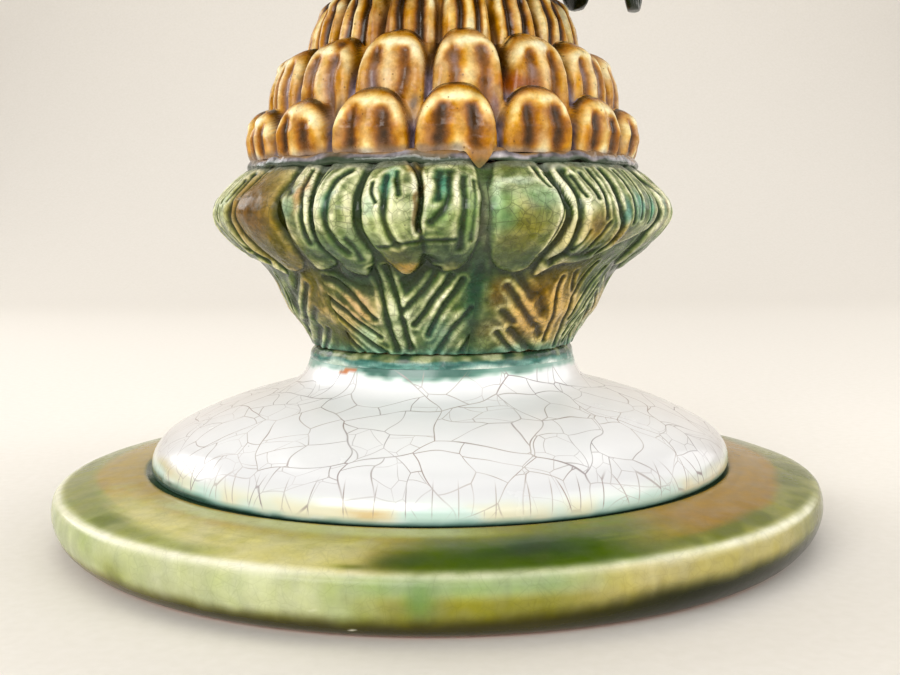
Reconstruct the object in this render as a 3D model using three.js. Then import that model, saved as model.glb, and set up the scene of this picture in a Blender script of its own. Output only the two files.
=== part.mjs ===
// Pineapple pedestal bowl in glazed earthenware.
// Millimetres, +Z up, the table at z = 0 and the turning axis of the whole piece on Z.
// -Y is the front.  From the table up: a foot plate with a rolled rim, a white bell-shaped
// dome, a luted neck, a seven-leaf calyx, a hollow pineapple dressed with rows of scales,
// a crown of drooping leaves round a collar, and a white bowl with a rolled rim.
import * as THREE from 'three';
import { mergeVertices } from 'three/addons/utils/BufferGeometryUtils.js';

// ---------------------------------------------------------------- driving dimensions (mm)
const FOOT_R = 105;          // foot plate, outer radius
const FOOT_TOP_Z = 18.4;     // top of the plate next to the dome
const DOME_R = 80.8;         // widest radius of the white dome
const NECK_R = 37.2;         // dome and calyx at the neck
const NECK_Z = 47.0;         // top face of the dome
const CALYX_R = 63.0;        // calyx at its widest
const SEAM_Z = 98.6;         // slip seam between calyx and pineapple
const CROWN_Z = 157.4;       // top of the pineapple, foot of the collar
const BOWL_Z = 171.2;        // underside of the bowl's stem
const BOWL_R = 138;          // bowl, outer radius over its rim
const BOWL_TOP_Z = 252;      // top of the bowl's rim
const GAP = 0.3;             // luted joints, drawn as a clear gap
const SEG = 36;              // steps round a turned piece
const LEAVES = 7;            // calyx leaves
const LEAF_FRONT_DEG = -14;  // azimuth of calyx leaf 1, from the front towards +X
const SCALES = 16;           // scales in each row
const CROWN_LEAVES = 8;

// glaze colours
const GREEN_OLIVE = 0x8b8f45, WHITE = 0xe9ebec, TEAL = 0x2c6f6b, SAGE = 0x7f9a63;
const BISCUIT = 0xb9804f, LAVENDER = 0x8f8791, AMBER = 0xb07a2e, DARK_GREEN = 0x2f5226;

const group = new THREE.Group();

// ---------------------------------------------------------------- helpers
// Welds a surface into one closed body whose faces point out.
function closedBody(geometry) {
  geometry.deleteAttribute('normal');
  geometry.deleteAttribute('uv');
  const g = mergeVertices(geometry, 1e-3);
  const p = g.attributes.position, src = g.index.array, keep = [];
  for (let i = 0; i < src.length; i += 3) {
    const [a, b, c] = [src[i], src[i + 1], src[i + 2]];
    if (a !== b && b !== c && c !== a) keep.push(a, b, c);
  }
  const A = new THREE.Vector3(), B = new THREE.Vector3(), C = new THREE.Vector3();
  let volume = 0;
  for (let i = 0; i < keep.length; i += 3) {
    A.fromBufferAttribute(p, keep[i]);
    B.fromBufferAttribute(p, keep[i + 1]);
    C.fromBufferAttribute(p, keep[i + 2]);
    volume += A.dot(B.clone().cross(C)) / 6;
  }
  if (volume < 0) for (let i = 0; i < keep.length; i += 3) [keep[i + 1], keep[i + 2]] = [keep[i + 2], keep[i + 1]];
  g.setIndex(keep);
  g.computeVertexNormals();
  return g;
}

function add(name, geometry, color, roughness = 0.2) {
  const material = new THREE.MeshStandardMaterial({ color, roughness, metalness: 0 });
  const mesh = new THREE.Mesh(geometry, material);
  mesh.name = name;
  group.add(mesh);
  return mesh;
}

// A turned piece: a section of [radius, height] pairs that closes on itself, or that
// starts and ends on the axis.
function turned(section, onAxis = false, segments = SEG) {
  const points = section.map(([r, z]) => new THREE.Vector2(r, z));
  if (!onAxis) points.push(points[0].clone());
  const g = new THREE.LatheGeometry(points, segments);
  g.rotateX(Math.PI / 2);
  return closedBody(g);
}

// A ring whose section changes with the angle: section(angle) gives the same number of
// [radius, height] pairs at every angle.  Angle 0 is the front, growing towards +X.
function variedRing(section, segments) {
  const count = section(0).length;
  const points = Array.from({ length: count + 1 }, (_, i) => new THREE.Vector2(10 + i, i));
  const g = new THREE.LatheGeometry(points, segments);
  const p = g.attributes.position;
  for (let i = 0; i <= segments; i++) {
    const angle = (i % segments) / segments * 2 * Math.PI;
    const ring = section(angle);
    for (let j = 0; j <= count; j++) {
      const [r, z] = ring[j % count];
      p.setXYZ(i * (count + 1) + j, r * Math.sin(angle), -r * Math.cos(angle), z);
    }
  }
  return closedBody(g);
}

// A leaf-like slab: a box whose sheet runs over u (-1..1) and v (0..1) and whose two
// faces are placed by face(u, v, side), side 1 being the outside.
function slab(face, nu, nv) {
  const g = new THREE.BoxGeometry(2, 1, 1, nu, nv, 1);
  const p = g.attributes.position;
  for (let i = 0; i < p.count; i++) {
    const q = face(p.getX(i), p.getY(i) + 0.5, p.getZ(i) > 0 ? 1 : 0);
    p.setXYZ(i, q.x, q.y, q.z);
  }
  return closedBody(g);
}

const rad = THREE.MathUtils.degToRad;
const polar = (r, angle, z) => new THREE.Vector3(r * Math.sin(angle), -r * Math.cos(angle), z);
const bump = (x, width) => Math.exp(-(x * x) / (width * width));
const smooth = (a, b, x) => THREE.MathUtils.smoothstep(x, a, b);

// Reads a table of [x, y] rows at x.
function table(rows, x) {
  if (x <= rows[0][0]) return rows[0][1];
  for (let i = 1; i < rows.length; i++) {
    const [x0, y0] = rows[i - 1], [x1, y1] = rows[i];
    if (x <= x1) return y0 + (y1 - y0) * (x - x0) / (x1 - x0);
  }
  return rows[rows.length - 1][1];
}

// ---------------------------------------------------------------- foot
// Plate with a rolled rim: it stands on a wiped flat ring, is recessed underneath and
// open in the middle, under the dome.
add('foot_plate', turned([
  [90, 0], [97.5, 0], [100.9, 1.8], [103.8, 5.0], [FOOT_R, 9.2], [104.9, 12.4], [104.0, 14.5],
  [99, 16.3], [90, 17.4], [81.4, FOOT_TOP_Z], [79.8, 17.9], [70, 17.9],
  [68.5, 13], [69.5, 8.2], [85, 7.4], [88.6, 5.4],
]), GREEN_OLIVE);

// Bell-shaped dome standing on the plate, drawn in to the neck, open at both ends.
add('foot_dome', turned([
  [78.6, 18.2], [80.4, 19.4], [DOME_R, 21.2], [79.9, 23.6], [77.4, 26.2], [73, 29.1],
  [66, 32.4], [56, 36.1], [46, 38.8], [41.4, 40.6], [39.0, 43.6], [NECK_R, NECK_Z],
  [30.6, NECK_Z], [31.6, 42.2], [36, 36.6], [56, 30.4], [68, 25.6], [72.2, 18.2],
]), WHITE);

// Recessed luting band at the neck, where the glaze pools.
add('neck_ring', turned([
  [30.8, NECK_Z + GAP], [36.4, NECK_Z + GAP], [36.0, 48.9], [36.4, 50.5], [30.8, 50.5],
]), TEAL);

// ---------------------------------------------------------------- calyx
// Hollow cup behind the leaves.
const CUP_OUT = [[50.8, 34.2], [60, 37.6], [70, 42.6], [80, 47.2], [90, 48.6], [98.3, 47.6]];   // height, radius
add('calyx_cup', turned([
  ...CUP_OUT.map(([z, r]) => [r, z]),
  [42.6, 98.3], [42.8, 82], [37.4, 70], [29.6, 50.8],
]), SAGE);

// Outer face of a leaf along its length: fraction, radius, height.
const LEAF_LINE = [
  [0.00, 36.6, 50.8], [0.12, 39.2, 56.0], [0.24, 43.6, 61.8], [0.36, 47.4, 67.6], [0.46, 50.2, 72.0],
  [0.56, 55.6, 76.6], [0.66, 60.2, 81.2], [0.76, CALYX_R, 86.6], [0.85, 61.6, 90.8], [0.93, 57.4, 95.2], [1.00, 52.8, 98.3],
];
const leafR = v => table(LEAF_LINE.map(([f, r]) => [f, r]), v);
const leafZ = v => table(LEAF_LINE.map(([f, , z]) => [f, z]), v);
const LEAF_ROWS = [0, 0.22, 0.44, 0.54, 0.66, 0.77, 0.87, 0.94, 1];
for (let k = 0; k < LEAVES; k++) {
  const centre = rad(LEAF_FRONT_DEG + k * 360 / LEAVES);
  const leaf = slab((u, v, side) => {
    const f = table(LEAF_ROWS.map((x, i) => [i / (LEAF_ROWS.length - 1), x]), v);
    const angle = centre + rad(24.9) * u;
    const z = leafZ(f);
    if (!side) return polar(table(CUP_OUT, z) + 0.45, angle, z);
    // Lobes curl over the top half; below them the blade has a ridged midrib.
    const curl = smooth(0.44, 0.56, f) * (1 - 0.6 * smooth(0.9, 1, f));
    const lobes = Math.abs(Math.sin(1.5 * Math.PI * (u + 1)));
    const cut = curl * (2.6 * (1 - lobes)) + (1 - curl) * 1.0 * (1 - bump(u, 0.16));
    return polar(leafR(f) - cut - 1.2 * Math.pow(Math.abs(u), 6), angle, z);
  }, 9, 8);
  add(`calyx_leaf_${k + 1}`, leaf, SAGE);
}

// Slip squeezed out of the joint between calyx and pineapple.
add('seam_ring', turned([
  [43.2, SEAM_Z], [51.8, SEAM_Z], [53.0, 99.5], [51.8, 100.3], [43.2, 100.3],
]), LAVENDER);

// ---------------------------------------------------------------- pineapple
// Hollow body that carries the rows of scales.
const CORE_OUT = [[100.6, 46.4], [113.2, 42.4], [127.8, 34.2], [142, 25.2], [157.1, 18.2]];   // height, radius
add('pineapple_core', turned([
  ...CORE_OUT.map(([z, r]) => [r, z]),
  [13.4, 157.1], [20.2, 142], [29.2, 127.8], [37.4, 113.2], [41.6, 100.6],
]), BISCUIT);

// A row of tongue-shaped scales.  The band behind the tongues ends at bandTop; the
// tongues rise past it, outside the foot of the next row (nextR).
function scaleRow(name, { z0, bandTop, tip, foot, belly, bellyZ, lip, nextR, turnDeg }) {
  const pitch = 2 * Math.PI / SCALES;
  const geometry = variedRing(angle => {
    const a = angle - rad(turnDeg);
    const t = Math.abs(((a / pitch) % 1 + 1.5) % 1 - 0.5) * 2;     // 0 on a scale, 1 between two
    const top = bandTop + 0.5 + (tip - bandTop - 0.5) * (1 - Math.pow(t, 2.2));
    const dip = 2.4 * Math.pow(t, 2);
    return [
      [table(CORE_OUT, z0) + 0.5, z0],
      [foot - dip * 0.5, z0],
      [belly - dip, bellyZ],
      [(belly + lip) / 2 + 0.8 - dip, (bellyZ + 2 * top) / 3],
      [lip - dip * 0.3, top],
      [nextR + 0.5, top - 0.3],
      [nextR + 0.5, bandTop],
      [table(CORE_OUT, bandTop) + 0.5, bandTop],
    ];
  }, SCALES * 3);
  add(name, geometry, AMBER);
}
scaleRow('scale_row_1', { z0: 100.6, bandTop: 113.0, tip: 116.8, foot: 52.6, belly: 54.2, bellyZ: 106.5, lip: 50.4, nextR: 47.9, turnDeg: 3.6 });
scaleRow('scale_row_2', { z0: 113.4, bandTop: 127.6, tip: 131.2, foot: 47.9, belly: 47.2, bellyZ: 120.5, lip: 42.0, nextR: 37.4, turnDeg: 7.5 });
scaleRow('scale_row_3', { z0: 128.0, bandTop: 141.8, tip: 145.4, foot: 37.4, belly: 36.0, bellyZ: 135.0, lip: 32.2, nextR: 28.8, turnDeg: 13 });
scaleRow('scale_row_4', { z0: 142.2, bandTop: 153.4, tip: 156.8, foot: 28.8, belly: 27.8, bellyZ: 148.0, lip: 24.6, nextR: 20.4, turnDeg: 18 });

// ---------------------------------------------------------------- crown
// Collar on the pineapple: it carries the leaves and the bowl.
add('crown_collar', turned([
  [13.4, CROWN_Z], [18.6, CROWN_Z], [19.2, 160], [19.4, 166], [21.2, 169.6], [24.0, 170.9],
  [14.0, 170.9], [13.4, 166],
]), DARK_GREEN);

// Leaves that spring from the collar, arch over and hang down.  Each has its own
// place of tip, as pressed and draped by hand: [radius, height].
const TIPS = [[52, 142], [53, 139.6], [42, 146.6], [50, 144], [51, 143], [49, 152], [52, 147], [51.5, 141.5]];
for (let k = 0; k < CROWN_LEAVES; k++) {
  const angle = rad((k + 0.5) * 360 / CROWN_LEAVES);
  const [tipR, tipZ] = TIPS[k];
  const line = new THREE.CatmullRomCurve3([
    [20.8, 162.2], [26.5, 166.0], [33.5, 168.2], [tipR - 12, 167.2], [tipR - 5.2, 162.4],
    [tipR - 1.2, (162.4 + tipZ) / 2 + 0.8], [tipR, tipZ],
  ].map(([r, z]) => new THREE.Vector3(r, 0, z)));
  const halfWidth = v => table([[0, 6.2], [0.2, 8.0], [0.45, 11.0], [0.65, 11.4], [0.85, 8.4], [1, 3.4]], v);
  const leaf = slab((u, v, side) => {
    const c = line.getPoint(v), t = line.getTangent(v);
    const n = new THREE.Vector3(-t.z, 0, t.x);                     // up and out of the leaf
    const sag = -2.2 * u * u * Math.sin(Math.PI * Math.min(1, v + 0.15));
    const thick = (side ? 1 : -1) * (2.2 - 1.1 * u * u);
    const q = c.clone().addScaledVector(n, sag + thick);
    const w = halfWidth(v) * u;
    return new THREE.Vector3(
      q.x * Math.sin(angle) + w * Math.cos(angle),
      -q.x * Math.cos(angle) + w * Math.sin(angle),
      q.z);
  }, 4, 8);
  add(`crown_leaf_${k + 1}`, leaf, DARK_GREEN);
}

// ---------------------------------------------------------------- bowl
// Thrown bowl on a short stem, with a rolled rim like the foot's.
add('bowl', turned([
  [0, 177.0], [13, 177.0], [15, BOWL_Z], [24.4, BOWL_Z], [26.4, 174.2], [34, 178.0], [52, 183.0], [76, 190.0],
  [98, 200.0], [115, 212.5], [125, 226.0], [130.4, 240.0],
  [135.6, 241.6], [BOWL_R, 246.2], [136.6, 250.2], [132.2, BOWL_TOP_Z], [127.2, 250.4], [125.0, 246.0],
  [118.9, 229.4], [108.4, 216.0], [94.5, 206.1], [73.6, 196.6], [50, 189.9], [0, 185.8],
], true), WHITE);

export default group;
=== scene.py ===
import math

import bpy
import numpy as np
from mathutils import Matrix


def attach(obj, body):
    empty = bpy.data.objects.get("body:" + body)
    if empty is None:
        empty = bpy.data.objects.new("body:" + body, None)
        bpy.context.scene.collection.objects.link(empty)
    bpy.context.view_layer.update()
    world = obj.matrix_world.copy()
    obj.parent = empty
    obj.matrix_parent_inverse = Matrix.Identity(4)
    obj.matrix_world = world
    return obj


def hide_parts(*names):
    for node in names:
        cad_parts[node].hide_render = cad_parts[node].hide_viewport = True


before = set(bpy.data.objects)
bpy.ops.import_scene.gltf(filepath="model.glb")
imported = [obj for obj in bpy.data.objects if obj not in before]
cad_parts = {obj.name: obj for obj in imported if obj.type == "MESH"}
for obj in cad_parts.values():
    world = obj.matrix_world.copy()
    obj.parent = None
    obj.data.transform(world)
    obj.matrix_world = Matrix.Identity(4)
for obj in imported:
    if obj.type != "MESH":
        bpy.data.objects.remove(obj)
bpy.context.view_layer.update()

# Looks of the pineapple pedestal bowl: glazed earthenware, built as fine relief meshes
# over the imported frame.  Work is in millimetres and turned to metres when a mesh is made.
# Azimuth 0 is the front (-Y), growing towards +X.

PI = math.pi


# ------------------------------------------------------------------ small tools
def lin(c):
    """sRGB 0..255 to linear."""
    c = np.asarray(c, float) / 255.0
    return np.where(c <= 0.04045, c / 12.92, ((c + 0.055) / 1.055) ** 2.4)


def smooth(a, b, x):
    t = np.clip((x - a) / (b - a), 0.0, 1.0)
    return t * t * (3 - 2 * t)


def mix(a, b, t):
    """a and b are colours or colour arrays, t an array."""
    t = np.asarray(t)[..., None]
    return np.asarray(a) * (1 - t) + np.asarray(b) * t


def ramp(t, stops):
    """Colour ramp over t from a list of (position, colour)."""
    xs = [s[0] for s in stops]
    cs = np.array([s[1] for s in stops], float)
    return np.stack([np.interp(t, xs, cs[:, i]) for i in range(3)], axis=-1)


def lattice(ix, iy, iz, seed):
    with np.errstate(over="ignore"):
        h = (ix.astype(np.uint64) * np.uint64(374761393)
             + iy.astype(np.uint64) * np.uint64(668265263)
             + iz.astype(np.uint64) * np.uint64(2246822519)
             + np.uint64(seed * 3266489917 + 17))
        h ^= h >> np.uint64(15)
        h *= np.uint64(2654435761)
        h ^= h >> np.uint64(29)
        h *= np.uint64(1274126177)
        h ^= h >> np.uint64(32)
    return (h & np.uint64(0xFFFFF)).astype(float) / 0xFFFFF


def noise(p, size, seed=0):
    """Smooth value noise, about -1..1, of points p in millimetres."""
    q = np.asarray(p) / size + 1000.0
    i = np.floor(q)
    f = q - i
    u = f * f * f * (f * (f * 6 - 15) + 10)
    i = i.astype(np.int64)
    out = 0
    for dx in (0, 1):
        wx = u[..., 0] if dx else 1 - u[..., 0]
        for dy in (0, 1):
            wy = u[..., 1] if dy else 1 - u[..., 1]
            for dz in (0, 1):
                wz = u[..., 2] if dz else 1 - u[..., 2]
                out = out + wx * wy * wz * lattice(i[..., 0] + dx, i[..., 1] + dy, i[..., 2] + dz, seed)
    return out * 2 - 1


def fbm(p, size, octaves=3, seed=0):
    out, amp, total = 0, 1.0, 0.0
    for k in range(octaves):
        out = out + amp * noise(p, size / 2 ** k, seed + 31 * k)
        total += amp
        amp *= 0.5
    return out / total


def blur(a, su, sv, wrap_u=False):
    """Gaussian blur of a grid, in samples."""
    def one(x, sigma, wrap):
        n = max(1, int(3 * sigma))
        k = np.exp(-0.5 * (np.arange(-n, n + 1) / sigma) ** 2)
        k /= k.sum()
        pad = np.pad(x, ((n, n), (0, 0)), mode="wrap" if wrap else "edge")
        out = np.zeros_like(x)
        for j, w in enumerate(k):
            out += w * pad[j:j + x.shape[0]]
        return out
    a = one(a, su, wrap_u)
    return one(a.T, sv, False).T


def wrap_deg(a):
    return (a + 180.0) % 360.0 - 180.0


def spline(points, step):
    """Dense path through [r, z] points; a third item 1 marks a sharp corner."""
    pts = [np.array(p[:2], float) for p in points]
    corner = [len(p) > 2 and p[2] for p in points]
    corner[0] = corner[-1] = True
    out = []
    start = 0
    for end in range(1, len(pts)):
        if not corner[end]:
            continue
        chunk = pts[start:end + 1]
        dense = []
        for i in range(len(chunk) - 1):
            p1, p2 = chunk[i], chunk[i + 1]
            p0 = chunk[i - 1] if i else 2 * p1 - p2
            p3 = chunk[i + 2] if i + 2 < len(chunk) else 2 * p2 - p1
            d01 = max(np.linalg.norm(p1 - p0) ** 0.5, 1e-6)
            d12 = max(np.linalg.norm(p2 - p1) ** 0.5, 1e-6)
            d23 = max(np.linalg.norm(p3 - p2) ** 0.5, 1e-6)
            m1 = (p2 - p1) + d12 * ((p1 - p0) / d01 - (p2 - p0) / (d01 + d12))
            m2 = (p2 - p1) + d12 * ((p3 - p2) / d23 - (p3 - p1) / (d12 + d23))
            t = np.linspace(0, 1, 24, endpoint=False)[:, None]
            dense.append((2 * t**3 - 3 * t**2 + 1) * p1 + (t**3 - 2 * t**2 + t) * m1
                         + (-2 * t**3 + 3 * t**2) * p2 + (t**3 - t**2) * m2)
        dense = np.vstack(dense + [chunk[-1][None]])
        s = np.r_[0, np.cumsum(np.linalg.norm(np.diff(dense, axis=0), axis=1))]
        n = max(1, int(round(s[-1] / step)))
        u = np.linspace(0, s[-1], n + 1)
        out.append(np.c_[np.interp(u, s, dense[:, 0]), np.interp(u, s, dense[:, 1])][:-1])
        start = end
    return np.vstack(out + [pts[-1][None]])


LEAN_Z = [17, 20, 40, 55, 80, 95, 110, 130, 142, 157, 171]
LEAN_X = [0, 0.7, 0.9, 1.5, 1.7, 1.7, 2.0, 2.4, 2.5, 1.5, 0]


def place(R, A, Z, lean=True):
    """Radius, azimuth in radians and height to points in millimetres.  The stem of the
    hand-built piece stands a little out of true; the foot and bowl do not."""
    x = R * np.sin(A)
    if lean:
        x = x + np.interp(Z, LEAN_Z, LEAN_X)
    return np.stack([x, -R * np.cos(A), Z + 0 * x], axis=-1)


def grid_quads(nu, nv, wrap_u, wrap_v, base=0):
    u = np.arange(nu if wrap_u else nu - 1)
    v = np.arange(nv if wrap_v else nv - 1)
    U, V = np.meshgrid(u, v, indexing="ij")
    U1, V1 = (U + 1) % nu, (V + 1) % nv
    q = np.stack([U * nv + V, U1 * nv + V, U1 * nv + V1, U * nv + V1], axis=-1)
    return q.reshape(-1, 4) + base


def make_mesh(name, verts, quads, polys=(), colour=None, floats=None, vectors=None):
    """Mesh object from points in millimetres.  Closed pieces are turned to face out."""
    verts = np.asarray(verts, float).reshape(-1, 3)
    quads = np.asarray(quads, np.int64)
    vol = 0.0
    for a, b, c in ((0, 1, 2), (0, 2, 3)):
        vol += np.einsum("ij,ij->i", verts[quads[:, a]], np.cross(verts[quads[:, b]], verts[quads[:, c]])).sum()
    flip = vol < 0
    if flip:
        quads = quads[:, ::-1]
    polys = [list(p)[::-1] if flip else list(p) for p in polys]
    loops = np.r_[quads.ravel(), np.array([i for p in polys for i in p], np.int64)].astype(np.int32)
    sizes = np.r_[np.full(len(quads), 4), np.array([len(p) for p in polys], int)].astype(int)
    starts = np.r_[0, np.cumsum(sizes)[:-1]].astype(np.int32)
    me = bpy.data.meshes.new(name)
    me.vertices.add(len(verts))
    me.vertices.foreach_set("co", (verts * 0.001).astype(np.float32).ravel())
    me.loops.add(len(loops))
    me.loops.foreach_set("vertex_index", loops)
    me.polygons.add(len(sizes))
    me.polygons.foreach_set("loop_start", starts)
    me.update(calc_edges=True)
    me.polygons.foreach_set("use_smooth", np.ones(len(sizes), bool))
    if colour is not None:
        c = np.ones((len(verts), 4), np.float32)
        c[:, :3] = np.clip(np.asarray(colour).reshape(-1, 3), 0, 1)
        at = me.attributes.new("Col", "FLOAT_COLOR", "POINT")
        at.data.foreach_set("color", c.ravel())
    for key, val in (floats or {}).items():
        at = me.attributes.new(key, "FLOAT", "POINT")
        at.data.foreach_set("value", np.asarray(val, np.float32).ravel())
    for key, val in (vectors or {}).items():
        at = me.attributes.new(key, "FLOAT_VECTOR", "POINT")
        at.data.foreach_set("vector", np.asarray(val, np.float32).ravel())
    me.update()
    me.set_sharp_from_angle(angle=math.radians(62))
    ob = bpy.data.objects.new(name, me)
    bpy.context.scene.collection.objects.link(ob)
    return ob


def finish_piece(ob, material, nodes):
    ob.data.materials.append(material)
    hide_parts(*nodes)
    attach(ob, "root")
    return ob


# ------------------------------------------------------------------ materials
class Nodes:
    """Short hand for building a material's nodes."""

    def __init__(self, name):
        self.mat = bpy.data.materials.new(name)
        self.mat.use_nodes = True
        self.nt = self.mat.node_tree
        self.nt.nodes.clear()
        self.out = self.nt.nodes.new("ShaderNodeOutputMaterial")
        self.bsdf = self.nt.nodes.new("ShaderNodeBsdfPrincipled")
        self.nt.links.new(self.bsdf.outputs["BSDF"], self.out.inputs["Surface"])

    def link(self, a, b):
        self.nt.links.new(a, b)

    def put(self, socket, value):
        if isinstance(value, bpy.types.NodeSocket):
            self.link(value, socket)
        elif value is not None:
            socket.default_value = value

    def math(self, op, a, b=None, c=None, clamp=False):
        n = self.nt.nodes.new("ShaderNodeMath")
        n.operation = op
        n.use_clamp = clamp
        for i, v in enumerate((a, b, c)):
            self.put(n.inputs[i], v)
        return n.outputs[0]

    def vmath(self, op, a, b=None, scale=None):
        n = self.nt.nodes.new("ShaderNodeVectorMath")
        n.operation = op
        self.put(n.inputs[0], a)
        if b is not None:
            self.put(n.inputs[1], b)
        if scale is not None:
            self.put(n.inputs["Scale"], scale)
        return n.outputs[0]

    def attribute(self, name):
        n = self.nt.nodes.new("ShaderNodeAttribute")
        n.attribute_type = "GEOMETRY"
        n.attribute_name = name
        return n.outputs

    def position(self):
        """Object coordinates in millimetres."""
        n = self.nt.nodes.new("ShaderNodeTexCoord")
        return self.vmath("SCALE", n.outputs["Object"], scale=1000.0)

    def noise(self, vec, scale, detail=2.0, rough=0.5, distortion=0.0):
        n = self.nt.nodes.new("ShaderNodeTexNoise")
        self.put(n.inputs["Vector"], vec)
        n.inputs["Scale"].default_value = scale
        n.inputs["Detail"].default_value = detail
        n.inputs["Roughness"].default_value = rough
        n.inputs["Distortion"].default_value = distortion
        return n.outputs

    def voronoi(self, vec, scale, feature="F1", flat=False, loose=1.0):
        n = self.nt.nodes.new("ShaderNodeTexVoronoi")
        n.voronoi_dimensions = "2D" if flat else "3D"
        n.feature = feature
        self.put(n.inputs["Vector"], vec)
        n.inputs["Scale"].default_value = scale
        n.inputs["Randomness"].default_value = loose
        return n.outputs

    def map(self, v, a, b, c, d, smoothstep=False):
        n = self.nt.nodes.new("ShaderNodeMapRange")
        if smoothstep:
            n.interpolation_type = "SMOOTHSTEP"
        self.put(n.inputs["Value"], v)
        for key, val in zip(("From Min", "From Max", "To Min", "To Max"), (a, b, c, d)):
            self.put(n.inputs[key], val)
        return n.outputs["Result"]

    def mixc(self, fac, a, b, blend="MIX"):
        n = self.nt.nodes.new("ShaderNodeMix")
        n.data_type = "RGBA"
        n.blend_type = blend
        n.clamp_result = True
        self.put(n.inputs["Factor"], fac)
        for s, v in ((n.inputs[6], a), (n.inputs[7], b)):
            if isinstance(v, bpy.types.NodeSocket):
                self.link(v, s)
            else:
                s.default_value = (*v, 1.0)
        return n.outputs[2]

    def bump(self, height, strength, distance):
        n = self.nt.nodes.new("ShaderNodeBump")
        n.inputs["Strength"].default_value = strength
        n.inputs["Distance"].default_value = distance
        self.put(n.inputs["Height"], height)
        self.link(n.outputs["Normal"], self.bsdf.inputs["Normal"])
        return n


def crackle(n, vec, sizes, widths, keep, bend=5.0, flat=False, loose=0.8):
    """Crackle lines 0..1: long first cracks, and later ones that end on them.
    sizes are cell sizes in millimetres, widths half line widths in millimetres."""
    warp = n.noise(vec, 1 / 30.0, 1.0, 0.5)["Color"]
    vec = n.vmath("ADD", vec, n.vmath("SCALE", n.vmath("SUBTRACT", warp, (0.5, 0.5, 0.5)), scale=bend * 2.2))
    warp = n.noise(vec, 1 / 11.0, 0.0, 0.5)["Color"]
    vec = n.vmath("ADD", vec, n.vmath("SCALE", n.vmath("SUBTRACT", warp, (0.5, 0.5, 0.5)), scale=bend * 1.0))
    fade = n.map(n.noise(vec, 1 / 11.0, 2.0, 0.6)["Fac"], 0.34, 0.6, 0.45, 1.0)
    lines = None
    where = vec
    mask = None
    for k, (size, width) in enumerate(zip(sizes, widths)):
        d = n.math("MULTIPLY", n.voronoi(where, 1 / size, "DISTANCE_TO_EDGE", flat, loose)["Distance"], size)
        line = n.map(d, width * 0.30, width * 1.4, 1.0, 0.0, True)
        line = n.math("MULTIPLY", line, (1.0, 0.88, 0.62)[k])
        if mask is not None:
            line = n.math("MULTIPLY", line, mask)
        lines = line if lines is None else n.math("MAXIMUM", lines, line)
        if k + 1 < len(sizes):
            cell = n.voronoi(where, 1 / size, "F1", flat, loose)["Color"]
            sep = n.nt.nodes.new("ShaderNodeSeparateColor")
            n.link(cell, sep.inputs[0])
            new = n.math("LESS_THAN", sep.outputs[0], keep[k])
            mask = new if mask is None else n.math("MULTIPLY", mask, new)
            where = n.vmath("ADD", where, n.vmath("SCALE", cell, scale=310.0))
    return n.math("MULTIPLY", lines, fade), vec


def glaze_material(name, rough=0.13, var=0.16, ripple=0.35, speck=None, speck_amount=0.0, fine=0.0, ior=1.45, coat=0.15, spec=0.5):
    """Coloured glaze: the pooled colour comes with the mesh, the nodes add mottling,
    specks, fine crackle, ripple and gloss."""
    n = Nodes(name)
    pos = n.position()
    col = n.attribute("Col")["Color"]
    m1 = n.noise(pos, 1 / 2.6, 4.0, 0.62)["Fac"]
    m2 = n.noise(pos, 1 / 0.8, 3.0, 0.6)["Fac"]
    f = n.math("ADD", n.map(m1, 0.3, 0.7, 1 - var, 1 + var), n.map(m2, 0.3, 0.7, -var * 0.55, var * 0.55))
    hsv = n.nt.nodes.new("ShaderNodeHueSaturation")
    n.link(col, hsv.inputs["Color"])
    n.link(f, hsv.inputs["Value"])
    n.link(n.map(n.noise(pos, 1 / 6.0, 2.0)["Fac"], 0.3, 0.7, 0.9, 1.12), hsv.inputs["Saturation"])
    col = hsv.outputs["Color"]
    if speck:
        v = n.voronoi(pos, 1 / 1.7, "F1")
        sep = n.nt.nodes.new("ShaderNodeSeparateColor")
        n.link(v["Color"], sep.inputs[0])
        dot = n.map(v["Distance"], 0.10, 0.2, 1.0, 0.0, True)
        dot = n.math("MULTIPLY", dot, n.math("LESS_THAN", sep.outputs[0], speck_amount))
        col = n.mixc(n.math("MULTIPLY", dot, 0.6), col, tuple(lin(speck)))
    if fine:
        lines, _ = crackle(n, pos, (4.4, 2.2), (0.11, 0.08), (0.8,), 1.5)
        col = n.mixc(n.math("MULTIPLY", lines, fine), col, tuple(lin((44, 50, 26))))
    n.link(col, n.bsdf.inputs["Base Color"])
    n.link(n.map(m1, 0.3, 0.7, rough * 0.7, rough * 1.5), n.bsdf.inputs["Roughness"])
    n.bsdf.inputs["IOR"].default_value = ior
    n.bsdf.inputs["Specular IOR Level"].default_value = spec
    n.bsdf.inputs["Coat Weight"].default_value = coat
    n.bsdf.inputs["Coat Roughness"].default_value = 0.09
    h = n.math("ADD", n.math("MULTIPLY", n.noise(pos, 1 / 3.2, 3.0, 0.55)["Fac"], 1.0),
               n.math("MULTIPLY", m2, 0.16))
    n.bump(h, ripple, 0.0005)
    return n.mat


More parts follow.
